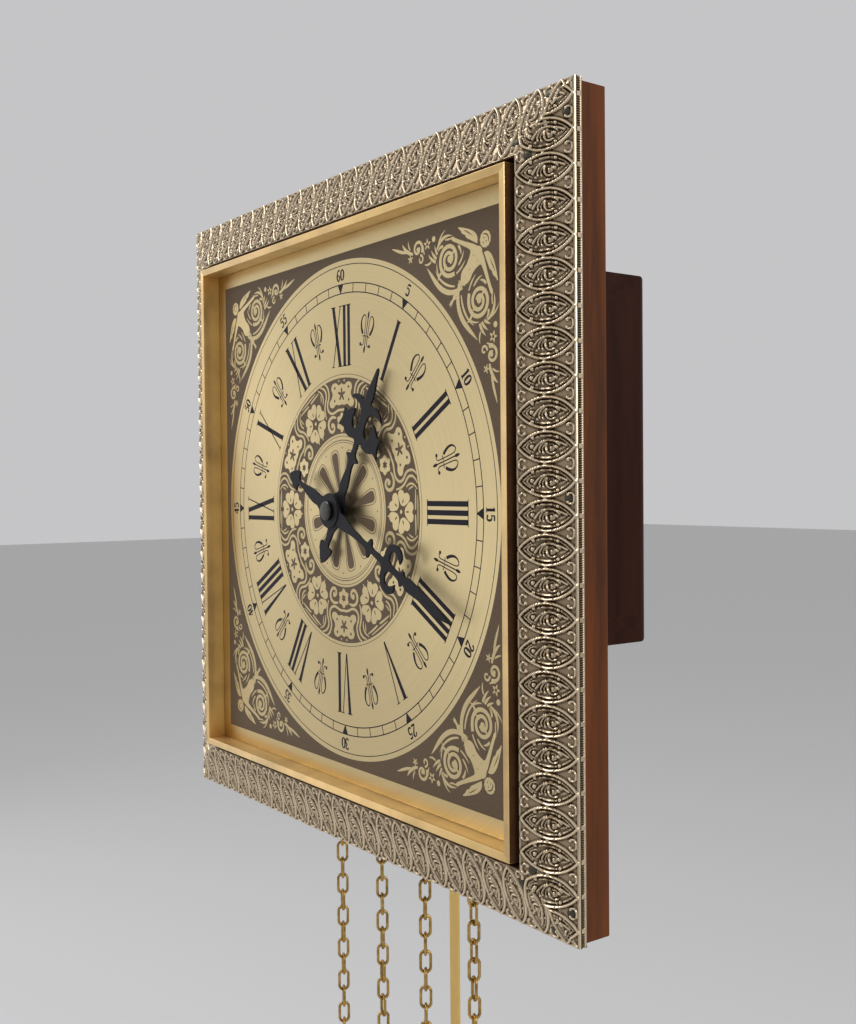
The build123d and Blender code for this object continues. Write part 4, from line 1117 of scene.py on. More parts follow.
DIGITS = {
    "0": [stroke([(1.15, 0), (1.1, 1.7), (0, 2.6), (-1.1, 1.7), (-1.15, 0), (-1.1, -1.7), (0, -2.6),
                  (1.1, -1.7), (1.15, 0)], [1.0, 0.9, 0.35, 0.9, 1.0, 0.9, 0.35, 0.9, 1.0])],
    "1": [line((0.1, -2.5), (0.1, 2.6), 0.95), line((-0.9, 1.7), (0.2, 2.5), 0.4),
          line((-0.9, -2.5), (1.1, -2.5), 0.34)],
    "2": [stroke([(-1.1, 1.2), (-0.9, 2.4), (0.6, 2.8), (1.3, 1.4), (0.2, 0.0), (-1.2, -2.3)],
                 [0.9, 0.45, 0.5, 1.0, 0.8, 0.4]), line((-1.2, -2.25), (1.25, -2.25), 0.75)],
    "3": [stroke([(-1.0, 1.6), (-0.4, 2.7), (1.1, 2.4), (1.0, 0.8), (-0.2, 0.2)],
                 [0.8, 0.35, 0.8, 0.8, 0.35]),
          stroke([(-0.2, 0.2), (1.3, 0.0), (1.3, -2.0), (0.1, -2.8), (-1.1, -1.6)],
                 [0.35, 0.9, 0.9, 0.4, 0.9])],
    "4": [line((0.4, 2.5), (-1.3, -0.9), 0.42), line((-1.4, -0.9), (1.4, -0.9), 0.42),
          line((0.5, 2.6), (0.5, -2.6), 0.95)],
    "5": [line((-0.8, 2.25), (1.1, 2.25), 0.7), line((-0.8, 2.4), (-0.9, 0.3), 0.42),
          stroke([(-0.9, 0.4), (0.4, 1.2), (1.4, -0.6), (0.5, -2.8), (-1.1, -1.7)],
                 [0.4, 0.6, 1.0, 0.5, 0.9])],
    "6": [stroke([(0.9, 2.0), (0.0, 2.8), (-1.2, 1.2), (-1.3, -1.4), (0.0, -2.9), (1.3, -1.2), (0.4, 0.5),
                  (-0.9, -0.4)], [0.8, 0.4, 0.9, 1.0, 0.45, 0.95, 0.45, 0.35])],
}
DIGIT_PITCH, NUMBER_SIZE, NUMBER_WEIGHT = 3.4, 1.1, 1.3


def minute_number(text, radius, angle):
    """Strokes of a minute number with its top outwards."""
    strokes = []
    for place, digit in enumerate(text):
        across = DIGIT_PITCH * (place - (len(text) - 1) / 2)
        drawn = resized(DIGITS[digit], NUMBER_WEIGHT, NUMBER_SIZE)
        strokes += moved(drawn, turn=angle, shift=(across, radius))
    return strokes


def half_hour_mark():
    """Small lily between the hours, its top outwards."""
    half = [
        stroke([(3.0, -2.2), (4.4, -0.4), (5.5, 2.4), (5.2, 5.2), (3.4, 7.2), (1.7, 6.2), (1.5, 3.0),
                (1.5, -1.0), (1.4, -5.0), (1.4, -7.2), (2.6, -8.0), (3.8, -7.3)],
               [1.5, 1.5, 1.2, 0.8, 0.55] + [0.5] * 6 + [0.6]),
        dot((3.9, -7.3), 0.85),
        line((0.5, -2.9), (2.9, -3.3), 0.5),
    ]
    stem = [
        line((0, -8.6), (0, 6.6), 0.6),
        stroke([(0, 5.2), (0, 7.2), (0, 9.0)], [0.5, 2.6, 0.1]),
        stroke([(0, -7.4), (0, -9.4), (0, -11.2)], [0.5, 2.6, 0.1]),
    ]
    return both_sides(half) + stem


# Flowered ring and corner ornament

def mirrored_loop(half):
    """Closed loop with its corners cut, from its right half listed from the top down."""
    return rounded(half + [(-x, y) for x, y in reversed(half[1:-1])] + half[:1])[:-1]


def lobed(spot, radius, depth, lobes, count=36):
    """Loop that swings in and out round a spot, its first lobe outwards."""
    loop = []
    for number in range(count):
        angle = 360.0 * number / count
        x, y = polar(radius + depth * cos(radians(lobes * angle)), angle)
        loop.append((spot[0] + x, spot[1] + y))
    return loop


def turned_loops(loops, turn=0.0, shift=(0.0, 0.0)):
    """Loops shifted and then turned clockwise about the arbor."""
    return [turned([(x + shift[0], y + shift[1]) for x, y in loop], turn) for loop in loops]


PETAL = [(0, 8.7), (1.9, 10.0), (4.0, 9.4), (4.9, 7.7), (4.2, 5.9), (2.7, 4.3), (1.5, 3.1), (0, 2.8)]
PETAL_VEIN = [(0, 6.6), (0.36, 5.6), (0.42, 4.3), (0, 4.0)]
CARTOUCHE = [
    (0, 62.4), (2.6, 61.2), (5.2, 63.0), (8.8, 62.4), (9.9, 59.8), (8.1, 57.6), (9.3, 55.0), (11.5, 53.6),
    (10.9, 50.8), (7.6, 50.4), (5.2, 52.4), (2.4, 51.5), (0, 52.2),
]
STAR, SMALL_FLOWER, LARGE_FLOWER = (0, 56.9), (0, 43.2), (0, 50.3)


def ring_shapes():
    """Loops of a sixth of the ring about twelve: a panel with a star, a small flower and a large one."""
    loops = [mirrored_loop(CARTOUCHE), lobed(STAR, 2.3, 1.2, 5)]
    loops += [lobed(SMALL_FLOWER, 4.3, 0.6, 6), lobed(SMALL_FLOWER, 1.6, 0.45, 6)]
    for side in (-1, 1):
        loops += [lobed((6.5 * side, 54.0), 0.7, 0.1, 4, 16), lobed((6.3 * side, 60.3), 0.75, 0.1, 4, 16)]
    for number in range(5):
        petal = turned_loops([mirrored_loop(PETAL), mirrored_loop(PETAL_VEIN)], 72 * number)
        loops += turned_loops(petal, 30, LARGE_FLOWER)
    return loops + turned_loops([lobed(LARGE_FLOWER, 0.95, 0.2, 5, 20)], 30)


RING_WEIGHT = 1.25


def ring_strokes():
    """Gold strokes of a sixth of the ring, about twelve: scrolls, nested frame lines and leaves."""
    half = [
        stroke([(5.3, 45.6), (8.4, 46.6), (12.2, 45.2), (12.9, 41.2), (10.2, 38.3), (6.6, 39.0), (6.6, 42.4),
                (9.2, 42.6)], [0.8, 1.2, 1.4, 1.4, 1.3, 1.2, 1.2, 1.1]),
        dot((8.9, 41.9), 1.15),
        stroke([(0, 49.3), (3.2, 49.7), (6.4, 47.9), (10.2, 47.6), (13.4, 49.6), (13.5, 53.2), (11.7, 55.6),
                (11.8, 59.0), (14.0, 62.4), (16.6, 62.9)], [1.0] * 4 + [1.1, 1.1, 1.0, 1.0, 1.0, 0.6]),
        stroke([(14.4, 45.2), (15.9, 48.6), (16.0, 52.6), (14.2, 55.6), (14.5, 58.8), (17.0, 61.0),
                (20.4, 61.4)], [0.6, 0.95, 1.0, 1.0, 1.0, 0.95, 0.5]),
        stroke([(17.6, 53.0), (16.9, 56.4), (18.4, 58.9), (22.6, 59.9)], [0.6, 0.95, 0.95, 0.4]),
        leaf([(20.0, 57.6), (19.2, 55.4), (19.6, 53.6)], 0.9),
        dot((2.5, 63.6), 0.5),
    ]
    outside = [
        stroke([polar(62.6, -9.5), polar(62.2, -5), polar(61.6, -1.0)], [0.4, 1.1, 0.7]),
        stroke([polar(63.9, -7.0), polar(63.7, -3.5), polar(63.5, 0)], [0.3, 0.7, 0.6]),
        leaf([polar(39.4, -3.2), polar(41.0, -2.6), polar(42.4, -4.6)], 1.0),
    ]
    return resized(both_sides(half) + moved(both_sides(outside), turn=30), RING_WEIGHT)


FIGURE = [
    (0, 155.6), (1.2, 155.4), (1.9, 154.6), (4.6, 153.8), (8.0, 152.1), (12.0, 150.2), (16.0, 148.4),
    (19.0, 147.4), (19.8, 146.4), (18.4, 145.7), (15.4, 146.9), (11.2, 148.5), (7.2, 150.0), (4.7, 150.6),
    (3.8, 148.8), (3.1, 146.4), (2.9, 144.0), (3.5, 141.8), (3.2, 139.6), (1.8, 137.6), (0, 136.4),
]
HEAD = (0, 159.6)
FRINGE = [(0, 161.9), (1.6, 161.5), (2.6, 160.3), (2.4, 160.0), (1.3, 160.9), (0, 161.3)]
MOUTH = [(0, 157.9), (0.7, 158.05), (0.6, 157.7), (0, 157.5)]
WING = [
    (3.1, 155.2), (4.7, 157.4), (8.6, 157.6), (13.6, 155.4), (19.6, 151.9), (15.8, 152.5), (14.6, 151.9),
    (12.2, 153.0), (11.0, 152.4), (8.4, 153.4), (5.8, 154.2), (3.1, 155.2),
]
FEATHER = [(7.4, 155.8), (11.6, 155.2), (15.4, 153.5), (11.6, 154.5), (7.4, 155.8)]


def round_mark(spot, radius):
    """Small round loop."""
    return lobed(spot, radius, 0.0, 1, 12)


def corner_shapes():
    """Loops of a corner: a small winged figure, upright with its arms held out; its marks are holes."""
    loops = [mirrored_loop(FIGURE), lobed(HEAD, 3.5, 0.14, 11, 44)]
    loops += [mirrored_loop(FRINGE), mirrored_loop(MOUTH), round_mark((0, 144.4), 0.28)]
    for side in (-1, 1):
        loops += [round_mark((1.1 * side, 159.4), 0.32), round_mark((1.9 * side, 149.9), 0.24)]
        for part in (WING, FEATHER):
            loops.append(rounded([(side * x, y) for x, y in part])[:-1])
    return turned_loops(loops, 45)


def corner_strokes():
    """Gold strokes of the upper right corner: two leafy spirals and trailing branches."""
    half = [
        scroll((88.2, 108.4), 7.6, 1.7, -60, -730, 1.95, 1.5),
        dot((88.5, 108.5), 1.55),
        leaf([(84.0, 114.6), (81.4, 115.0), (80.2, 112.8)], 1.7, 0.9),
        leaf([(94.6, 113.2), (96.6, 111.6), (96.6, 109.0)], 1.7, 0.9),
        leaf([(82.6, 103.4), (80.4, 102.4), (80.0, 100.2)], 1.7, 0.9),
        leaf([(90.4, 110.4), (92.0, 111.6), (92.2, 113.4)], 1.5, 0.8),
        leaf([(86.2, 106.4), (84.6, 105.4), (84.8, 103.8)], 1.5, 0.8),
        leaf([(97.4, 95.2), (91.5, 93.4), (84.6, 94.6), (78.4, 99.6), (75.0, 104.0), (72.0, 107.2)],
             2.5, 0.9),
        leaf([(92.0, 96.4), (85.6, 97.0), (80.6, 100.6), (78.2, 105.2)], 1.5),
        leaf([(80.6, 102.6), (79.0, 105.4), (79.4, 108.4)], 1.2),
        leaf([(79.6, 113.8), (81.2, 117.6), (85.4, 119.6), (90.2, 118.2)], 2.1),
        leaf([(80.4, 115.8), (82.2, 120.0), (85.8, 121.4)], 1.3),
        leaf([(85.6, 117.2), (88.6, 116.6), (91.8, 117.6)], 1.2),
        leaf([(94.6, 105.0), (97.6, 107.4), (98.4, 110.6)], 1.5),
        leaf([(93.2, 101.6), (97.0, 103.4), (99.4, 106.4)], 1.4),
        leaf([(78.6, 108.8), (75.6, 109.8), (73.2, 112.8)], 2.0, 0.9),
        leaf([(79.2, 110.2), (77.0, 111.4), (75.4, 114.2)], 1.9, 0.9),
        leaf([(79.8, 111.8), (78.6, 113.4), (77.8, 116.0)], 1.7, 0.8),
        leaf([(75.2, 109.4), (72.6, 107.9), (70.2, 109.0)], 1.5),
        scroll((65.2, 116.6), 3.9, 1.2, -30, 420, 1.55, 1.0),
        dot((65.3, 116.4), 1.05),
        scroll((67.4, 111.6), 2.1, 0.8, 100, -330, 1.1, 0.8),
        leaf([(70.2, 113.4), (69.2, 115.4), (69.6, 117.6)], 1.2),
        dot((77.2, 119.0), 1.3),
        leaf([(61.6, 115.0), (57.8, 115.6), (54.4, 118.2), (53.4, 120.6)], 2.3),
        leaf([(57.6, 116.4), (52.2, 116.8), (48.6, 119.0), (45.0, 119.8)], 1.9),
        leaf([(59.4, 117.0), (57.8, 119.2), (57.9, 121.3)], 1.3),
        leaf([(93.4, 91.4), (89.8, 91.0), (87.8, 88.6)], 1.5),
    ]
    half += moved(leaf_ring(5, (0.2, 1.0, 2.1), 1.1, 0.5), shift=(59.6, 112.9))
    half += moved(leaf_ring(5, (0.7, 1.6, 2.6), 1.5, 0.8), shift=(72.4, 117.5))
    rosette = moved(leaf_ring(6, (0.5, 1.5, 2.7), 1.3, 0.7), shift=(97.0, 97.0))
    drop = stroke([(95.2, 95.2), (91.8, 91.8), (88.6, 88.6)], [0.8, 2.2, 0.2])
    return half + moved(half, swap=True) + rosette + [drop]


TEARDROP = [(0, 29.2), (2.1, 28.9), (2.9, 27.0), (2.5, 23.0), (1.5, 16.0), (0.7, 10.5), (0, 9.6)]
TEARDROP_OUTSIDE = [(0, 30.5), (2.9, 30.2), (4.1, 27.4), (3.6, 23.0), (2.2, 15.0), (1.1, 9.0), (0, 8.2)]
TEARDROP_INSIDE = [(0, 30.15), (2.65, 29.85), (3.75, 27.3), (3.25, 23.0), (1.9, 15.0), (0.85, 9.3), (0, 8.6)]
# Thin lines beside the ring, as pairs of gap and width
LINE_OUTSIDE = (1.6, 0.3)
LINES_INSIDE = ((1.2, 0.3), (3.2, 0.4), (4.3, 0.25))
PETAL_DOT, PETAL_DOT_RADIUS = (0, 30.8), 0.42


class CLOCK_OT_dial(bpy.types.Operator):
    """Brush the dial plate and print its ornament"""

    bl_idname = "clock.dial"
    bl_label = "Dial ornament"

    def execute(self, context):
        sizes = measures()
        dress("brushed_gold", "dial_plate")
        half, disc = sizes.field_half, sizes.disc_radius
        outer, inner = sizes.ring_outer, sizes.ring_inner
        square = [(-half, -half), (half, -half), (half, half), (-half, half)]
        back, front = print_layer(sizes, 0)
        mesh = flat_shape("field_print", [square, rim_points(disc, 240)], back, front)
        place_piece("field_print", mesh, "print_brown", "case")
        rims = [rim_points(radius, 144) for radius in (outer, inner)]
        place_piece("ring_print", flat_shape("ring_print", rims, back, front), "print_brown", "case")
        lines = [circle(outer + LINE_OUTSIDE[0], LINE_OUTSIDE[1])]
        lines += [circle(inner - gap, width) for gap, width in LINES_INSIDE]
        petals, rings = [], []
        for number in range(12):
            turn = 15 + 30 * number
            petals += turned_loops([mirrored_loop(TEARDROP)], turn)
            rings += turned_loops([mirrored_loop(TEARDROP_OUTSIDE), mirrored_loop(TEARDROP_INSIDE)], turn)
            lines += moved([dot(PETAL_DOT, PETAL_DOT_RADIUS)], turn=30 * number)
        place_piece("centre_petals", flat_shape("centre_petals", petals, back, front), "petal_brown", "case")
        place_piece("petal_lines", flat_shape("petal_lines", rings, back, front), "print_brown", "case")
        place_piece("centre_lines", flat_strokes("centre_lines", lines, back, front), "print_brown", "case")
        loops, strokes = [], []
        for number in range(6):
            loops += turned_loops(ring_shapes(), 60 * number)
            strokes += moved(ring_strokes(), turn=60 * number)
        for corner in range(4):
            loops += turned_loops(corner_shapes(), 90 * corner)
            strokes += moved(corner_strokes(), turn=90 * corner)
        back, front = print_layer(sizes, 1)
        mesh = flat_shape("gold_shapes", loops, back, front)
        place_piece("gold_shapes", mesh, "brushed_gold", "case")
        mesh = flat_strokes("gold_ornament", strokes, back, print_layer(sizes, 2)[1])
        place_piece("gold_ornament", mesh, "brushed_gold", "case")
        return {"FINISHED"}


# Hands; each right half runs from tip to tail in (across, along) points, with a 1 after a sharp one

MINUTE_PIPE, HOUR_PIPE = 2.65, 3.55
HUB = [(4.9, 7.2), (7.3, 4.7), (8.6, 1.7), (8.6, -1.7), (7.3, -4.7), (4.9, -7.2)]
MINUTE_HALF = [
    (0, 106.6, 1), (0.9, 103.5), (1.6, 99.0), (2.0, 93.0), (2.1, 86.5), (2.6, 80.0), (3.1, 75.0),
    (2.9, 72.0), (2.2, 69.8), (2.6, 68.9), (3.9, 67.8), (3.3, 66.9), (2.2, 65.9), (1.7, 64.0),
    (1.6, 61.0), (1.8, 58.2), (2.6, 56.3), (4.4, 55.4), (6.7, 55.8), (8.1, 57.4), (8.1, 59.7),
    (6.9, 61.9), (5.1, 63.9, 1), (7.7, 64.6), (10.3, 63.2), (11.7, 60.4), (11.6, 57.0), (9.8, 53.7),
    (6.4, 51.7), (2.4, 51.1), (1.7, 50.0), (1.6, 46.0), (1.6, 41.4), (2.2, 40.4), (4.6, 39.4),
    (4.9, 38.5), (3.7, 37.4), (2.0, 36.4), (1.5, 34.6), (1.5, 30.0), (1.8, 25.0), (2.4, 19.8),
    (3.3, 15.6), (3.6, 12.4), (3.5, 9.6), *HUB, (3.0, -11.0), (3.25, -15.5), (2.8, -20.5), (1.9, -25.5),
    (1.15, -30.0), (1.3, -32.2), (2.4, -33.2), (5.1, -33.4), (5.3, -34.8), (4.0, -38.0), (1.9, -41.2),
    (0, -43.0, 1),
]
HOUR_HALF = [
    (0, 76.4, 1), (0.85, 75.2), (1.2, 73.0), (1.7, 70.2), (2.4, 66.8), (3.0, 63.6), (2.9, 61.2),
    (2.6, 59.4), (3.8, 58.7), (6.6, 59.1), (10.0, 58.6), (12.7, 57.3), (14.3, 55.0, 1), (12.0, 55.5),
    (8.8, 55.5), (5.8, 54.8), (3.8, 53.2), (2.9, 50.8), (2.8, 47.2), (3.4, 44.4), (5.0, 42.8),
    (7.0, 43.1), (8.4, 45.0), (8.7, 47.4), (8.4, 49.4), (8.9, 51.5, 1), (11.2, 50.6), (13.0, 49.0),
    (15.0, 47.7), (17.6, 47.8, 1), (17.0, 45.2), (17.2, 42.2), (18.8, 38.0, 1), (16.4, 38.9),
    (14.2, 39.0), (12.0, 37.9), (9.0, 37.0), (6.0, 37.2), (3.4, 38.0), (2.0, 37.2), (1.8, 35.2),
    (1.8, 32.6), (2.3, 31.2), (4.9, 29.9), (5.3, 29.2), (4.2, 28.3), (2.5, 27.3), (2.05, 25.6),
    (2.1, 22.4), (2.8, 18.6), (3.35, 14.6), (3.1, 11.4), (2.9, 9.6), *HUB, (2.9, -11.0), (2.3, -14.6),
    (1.7, -18.2), (2.1, -19.8), (5.4, -20.1), (5.7, -21.3), (4.3, -24.8), (1.9, -28.8), (0, -30.4, 1),
]
HOLE_STEPS = 40
BOSS_RADIUS, BOSS_HEIGHT, BOSS_EDGE, BOSS_SUNK = 8.5, 0.65, 0.3, 0.1
NUT_SHARE = 0.86
# Dome of the nut, in shares of its radius and height
NUT_DOME = [(1.0, 0.74), (0.94, 0.84), (0.78, 0.93), (0.45, 0.985), (0.0, 1.0)]


def cut_hand(name, half, angle, hole, edge, back, front):
    """Mesh of a hand cut from sheet on a smooth outline, with softened edges and a hole for its pipe."""
    rim = [polar(hole - edge, -360.0 * number / HOLE_STEPS) for number in range(HOLE_STEPS)]
    curve = filled_curve(name, [rim], back - front - 2 * edge)
    curve.bevel_depth = edge
    curve.bevel_resolution = 1
    curve.offset = -edge
    curve.resolution_u = 6
    right = [(x, y, bool(sharp)) for x, y, *sharp in half]
    outline = right + [(-x, y, sharp) for x, y, sharp in reversed(right[1:-1])]
    spline = curve.splines.new("BEZIER")
    spline.bezier_points.add(len(outline) - 1)
    for point, (x, y, sharp) in zip(spline.bezier_points, outline):
        point.co = (x, y, 0.0)
        point.handle_left_type = point.handle_right_type = "VECTOR" if sharp else "AUTO"
    spline.use_cyclic_u = True
    return stood_up(name, drawn_mesh(curve), (front + back) / 2, angle)


class CLOCK_OT_hands(bpy.types.Operator):
    """Cut the two hands and turn the nut that holds them"""

    bl_idname = "clock.hands"
    bl_label = "Hands"

    def execute(self, context):
        sizes = measures()
        edge = sizes.hand_edge
        jobs = [
            ("minute", MINUTE_HALF, sizes.minute_angle, MINUTE_PIPE, MINUTE_HIGH.y, MINUTE_LOW.y),
            ("hour", HOUR_HALF, sizes.hour_angle, HOUR_PIPE, HOUR_HIGH.y, HOUR_LOW.y),
        ]
        for name, half, angle, pipe, back, front in jobs:
            node = name + "_hand"
            mesh = cut_hand(node, half, angle, pipe, edge, back, front)
            place_piece(node + "_painted", mesh, "black_paint", name + "_train", [node])
        radius, back = NUT_SHARE * NUT_HIGH.x, MINUTE_LOW.y
        tall, towards, seat = back - NUT_LOW.y, Vector((0, -1, 0)), Vector((0, back, 0))
        profile = [(radius, -BOSS_SUNK), (BOSS_RADIUS, -BOSS_SUNK), (BOSS_RADIUS, BOSS_HEIGHT - BOSS_EDGE),
                   (BOSS_RADIUS - BOSS_EDGE, BOSS_HEIGHT), (radius, BOSS_HEIGHT), (radius, -BOSS_SUNK)]
        mesh = bm_mesh("minute_boss", turned_bm(profile, 56, towards, seat), 30.0)
        place_piece("minute_boss", mesh, "black_paint", "minute_train")
        profile = [(0.0, 0.0), (radius, 0.0)] + [(wide * radius, high * tall) for wide, high in NUT_DOME]
        mesh = bm_mesh("hand_nut", turned_bm(profile, 40, towards, seat), 40.0)
        place_piece("hand_nut_turned", mesh, "blued_steel", "minute_train", ["hand_nut"])
        return {"FINISHED"}


# Chains, weights and pendulum

FRAME_LINK_WIRE = 1.25
TWIST, TWIST_LINKS = -36.0, 6
# Uneven twist along a strand, as pairs of degrees and radians a link
SWAYS = ((5.0, 2.7), (7.0, 0.4))


def ring_bm(radius, wire, steps, sides, stretch=0.0):
    """Ring of wire in X and Z, drawn out along Z into an oval link."""
    bm = bmesh.new()
    start = Matrix.Rotation(pi / steps, 4, "Y") @ Matrix.Translation((radius, 0, 0))
    bmesh.ops.create_circle(bm, segments=sides, radius=wire / 2, matrix=start)
    bmesh.ops.spin(bm, geom=bm.verts[:] + bm.edges[:], cent=(0, 0, 0), axis=(0, 1, 0), angle=2 * pi,
                   steps=steps, use_merge=True)
    bmesh.ops.remove_doubles(bm, verts=bm.verts, dist=NEAR)
    for sign in (-1, 1):
        end = [vert for vert in bm.verts if sign * vert.co.z > 0]
        bmesh.ops.translate(bm, vec=(0, 0, sign * stretch / 2), verts=end)
    return bm


def link_turn(number, start, ease):
    """Turn of a hanging link: every second one stands across, and the strand twists unevenly."""
    sway = ease + sum(size * sin(rate * number + ease) for size, rate in SWAYS)
    return radians(90.0 * ((number + start) % 2) + (TWIST + sway) * min(1.0, number / TWIST_LINKS))


def chain_strand(sizes, node, count, start, ease, ringed):
    """Links of a hanging strand where its frame node hangs, with the pull ring on a free one."""
    low, high = span(node)
    x, y = (low.x + high.x) / 2, (low.y + high.y) / 2
    inside, wire, pitch = sizes.link_inside, sizes.link_wire, sizes.link_pitch
    bend = (sizes.link_width - wire) / 2
    link = ring_bm(bend, wire, 14, 6, inside + wire - 2 * bend)
    top = high.z - inside / 2 - FRAME_LINK_WIRE
    bm = bmesh.new()
    for number in range(count):
        turn = Matrix.Rotation(link_turn(number, start, ease), 4, "Z")
        add_copy(bm, link, Matrix.Translation((x, y, top - number * pitch)) @ turn)
    link.free()
    if ringed:
        radius, wire = sizes.ring_radius, sizes.ring_wire
        ring = ring_bm(radius, wire, 40, 12)
        turn = Matrix.Rotation(link_turn(count - 1, start, ease) + pi / 2, 4, "Z")
        add_copy(bm, ring, Matrix.Translation((x, y, low.z + radius + wire / 2)) @ turn)
        ring.free()
    return bm


class CLOCK_OT_drive(bpy.types.Operator):
    """Hang the chains and finish the weights, pendulum and movement"""

    bl_idname = "clock.drive"
    bl_label = "Drive and movement"

    def execute(self, context):
        sizes = measures()
        strands = [
            ("going", "weight", sizes.weight_links, 0, 18.0),
            ("going", "free", sizes.free_links, 1, 6.0),
            ("strike", "free", sizes.free_links, 0, 14.0),
            ("strike", "weight", sizes.weight_links, 1, 9.0),
        ]
        for train, kind, count, start, ease in strands:
            node, ringed = train + "_" + kind + "_chain", kind == "free"
            bm = chain_strand(sizes, node, count, start, ease, ringed)
            body = train + "_ring" if ringed else train + "_weight"
            place_piece(node + "_links", bm_mesh(node, bm, 85.0), "chain_brass", body, [node])
        for train in ("going", "strike"):
            dress("chain_brass", train + "_chain_wrap")
            dress("polished_brass", train + "_weight")
            dress("plate_brass", train + "_chain_wheel", train + "_great_wheel")
        dress("satin_brass", "pendulum_rod")
        dress("polished_brass", "pendulum_bob", "rating_nut")
        dress("plate_brass", "front_plate", "back_plate", "plate_pillars", "suspension_cock", "centre_wheel",
              "minute_wheel", "third_wheel", "escape_wheel", "pin_wheel", "fly", "gong_block")
        # The brass hour wheel is dressed in dark steel as painted shade for the dark hub behind the hands,
        # and the cannon pinion with it
        dress("dark_steel", "hour_wheel", "cannon_pinion")
        dress("steel", "movement_posts", "pallet_anchor", "crutch", "suspension_spring", "hammer",
              "gong_rods")
        return {"FINISHED"}


# Camera, light and floor

SENSOR_WIDTH, CLIP_START, FLOOR_HALF = 36.0, 0.01, 12.0
# Lamps by the property that holds their power: place, aim and size in metres
LAMPS = {
    "key": ((-1.32, -0.84, 0.06), (0.0, -0.08, 0.0), 1.6),
    "fill": ((-0.80, -0.80, 1.25), (0.0, -0.08, 0.0), 0.8),
    "side": ((1.5, 0.2, 0.5), (0.1, -0.05, 0.0), 1.0),
}


def camera_matrix(stage):
    """Camera place and axes from its yaw, pitch and roll."""
    ahead = Vector((-sin(stage.yaw) * cos(stage.pitch), cos(stage.yaw) * cos(stage.pitch), sin(stage.pitch)))
    right = Vector((cos(stage.yaw), sin(stage.yaw), 0.0))
    up = right.cross(ahead)
    level = right * cos(stage.roll) + up * sin(stage.roll)
    upright = up * cos(stage.roll) - right * sin(stage.roll)
    turn = Matrix((level, upright, -ahead)).transposed().to_4x4()
    return Matrix.Translation(Vector(stage.eye)) @ turn


def soft_light(name, place, aim, size, watts):
    """Square area light aimed at a point."""
    lamp = bpy.data.lights.new(name, "AREA")
    lamp.size = size
    lamp.energy = watts
    holder = bpy.data.objects.new(name, lamp)
    bpy.context.scene.collection.objects.link(holder)
    place = Vector(place)
    aimed = (Vector(aim) - place).to_track_quat("-Z", "Y").to_matrix().to_4x4()
    holder.matrix_world = Matrix.Translation(place) @ aimed


def pale_world(stage, shade):
    """World that lights softly and shows as a pale background to the camera and in reflections."""
    world = bpy.data.worlds.new("studio")
    world.use_nodes = True
    tree = world.node_tree
    tree.nodes.clear()
    path = add(tree, "LightPath").outputs
    seen = path["Is Camera Ray"]
    for ray in ("Is Glossy Ray", "Is Transmission Ray"):
        seen = add(tree, "Math", {0: seen, 1: path[ray]}, operation="MAXIMUM").outputs[0]
    soft = add(tree, "Background", {"Color": (1.0, 1.0, 1.0, 1.0), "Strength": stage.ambient}).outputs[0]
    shown = add(tree, "Background", {"Color": (*shade, 1.0), "Strength": 1.0}).outputs[0]
    mixed = add(tree, "MixShader", {0: seen, 1: soft, 2: shown}).outputs[0]
    add(tree, "OutputWorld", {"Surface": mixed})
    bpy.context.scene.world = world


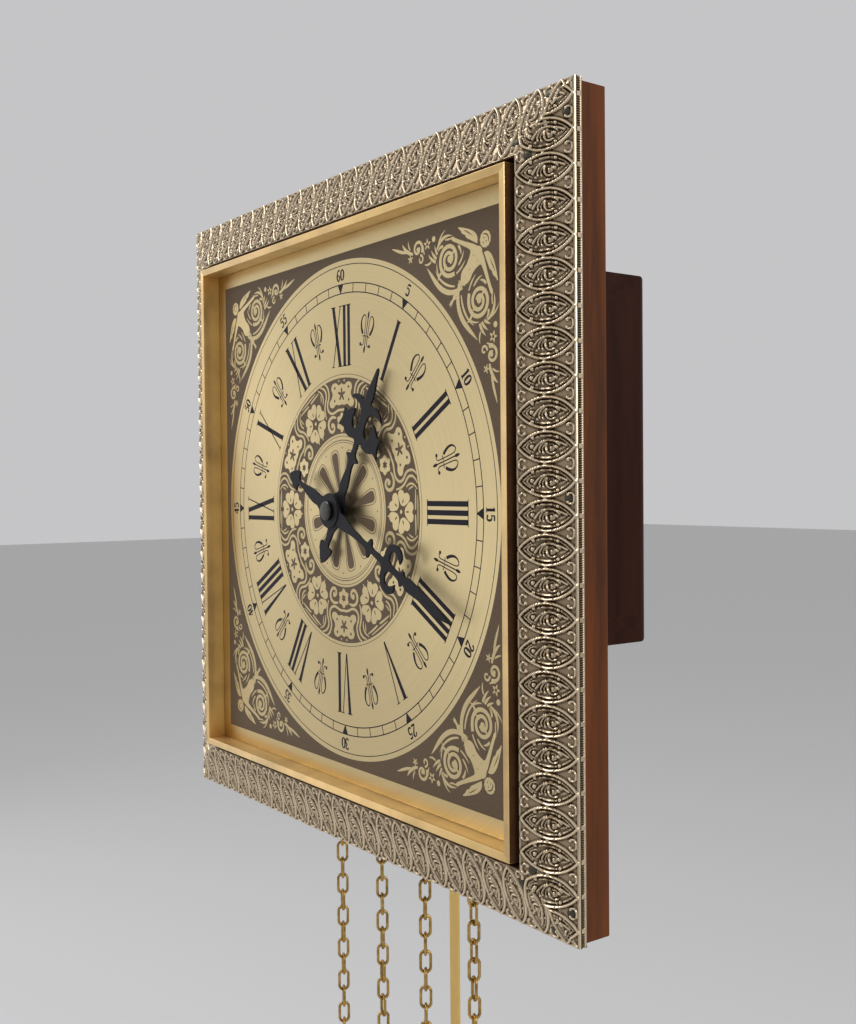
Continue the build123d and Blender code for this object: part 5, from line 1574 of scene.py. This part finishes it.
class CLOCK_OT_stage(bpy.types.Operator):
    """Set the camera, the soft light and the pale floor"""

    bl_idname = "clock.stage"
    bl_label = "Stage"

    def execute(self, context):
        scene, stage = context.scene, context.scene.clock_stage
        scene.view_settings.view_transform = "Standard"
        camera = bpy.data.cameras.new("camera")
        camera.sensor_fit = "AUTO"
        camera.sensor_width = SENSOR_WIDTH
        camera.lens = stage.lens
        camera.clip_start = CLIP_START
        holder = bpy.data.objects.new("camera", camera)
        scene.collection.objects.link(holder)
        holder.matrix_world = camera_matrix(stage)
        scene.camera = holder
        bm = bmesh.new()
        bmesh.ops.create_grid(bm, x_segments=1, y_segments=1, size=FLOOR_HALF)
        bmesh.ops.translate(bm, vec=(0, 0, CAD_BOUNDS[0][2] - stage.floor_drop), verts=bm.verts)
        mesh = bpy.data.meshes.new("floor")
        bm.to_mesh(mesh)
        bm.free()
        floor = bpy.data.objects.new("floor", mesh)
        scene.collection.objects.link(floor)
        mesh.materials.append(blank_material("floor", Base_Color=(*tint("floor"), 1.0), Roughness=0.9)[0])
        for name, (place, aim, size) in LAMPS.items():
            soft_light(name, place, aim, size, getattr(stage, name))
        pale_world(stage, tint("background"))
        return {"FINISHED"}


class CLOCK_PT_panel(bpy.types.Panel):
    """Lists the steps of the dressing"""

    bl_idname = "CLOCK_PT_panel"
    bl_label = "Wall clock"
    bl_space_type = "VIEW_3D"
    bl_region_type = "UI"
    bl_category = "Clock"

    def draw(self, context):
        for step in STEPS:
            self.layout.operator(step.bl_idname)
        for group in (context.scene.clock_sizes, context.scene.clock_colours, context.scene.clock_stage):
            for key in group.__annotations__:
                self.layout.prop(group, key)


STEPS = (CLOCK_OT_stage, CLOCK_OT_surround, CLOCK_OT_woodwork, CLOCK_OT_bezel, CLOCK_OT_dial,
         CLOCK_OT_numerals, CLOCK_OT_hands, CLOCK_OT_drive)
GROUPS = {"clock_sizes": ClockSizes, "clock_colours": ClockColours, "clock_stage": ClockStage}


def register():
    """Add the classes and the property groups."""
    for item in (*GROUPS.values(), *STEPS, CLOCK_PT_panel):
        bpy.utils.register_class(item)
    for key, group in GROUPS.items():
        setattr(bpy.types.Scene, key, PointerProperty(type=group))


def unregister():
    """Take the classes and the property groups away."""
    for key in GROUPS:
        delattr(bpy.types.Scene, key)
    for item in (CLOCK_PT_panel, *reversed(STEPS), *reversed(list(GROUPS.values()))):
        bpy.utils.unregister_class(item)


def main():
    """Dress the clock."""
    register()
    for step in STEPS:
        group, name = step.bl_idname.split(".")
        getattr(getattr(bpy.ops, group), name)()


if __name__ == "__main__":
    main()
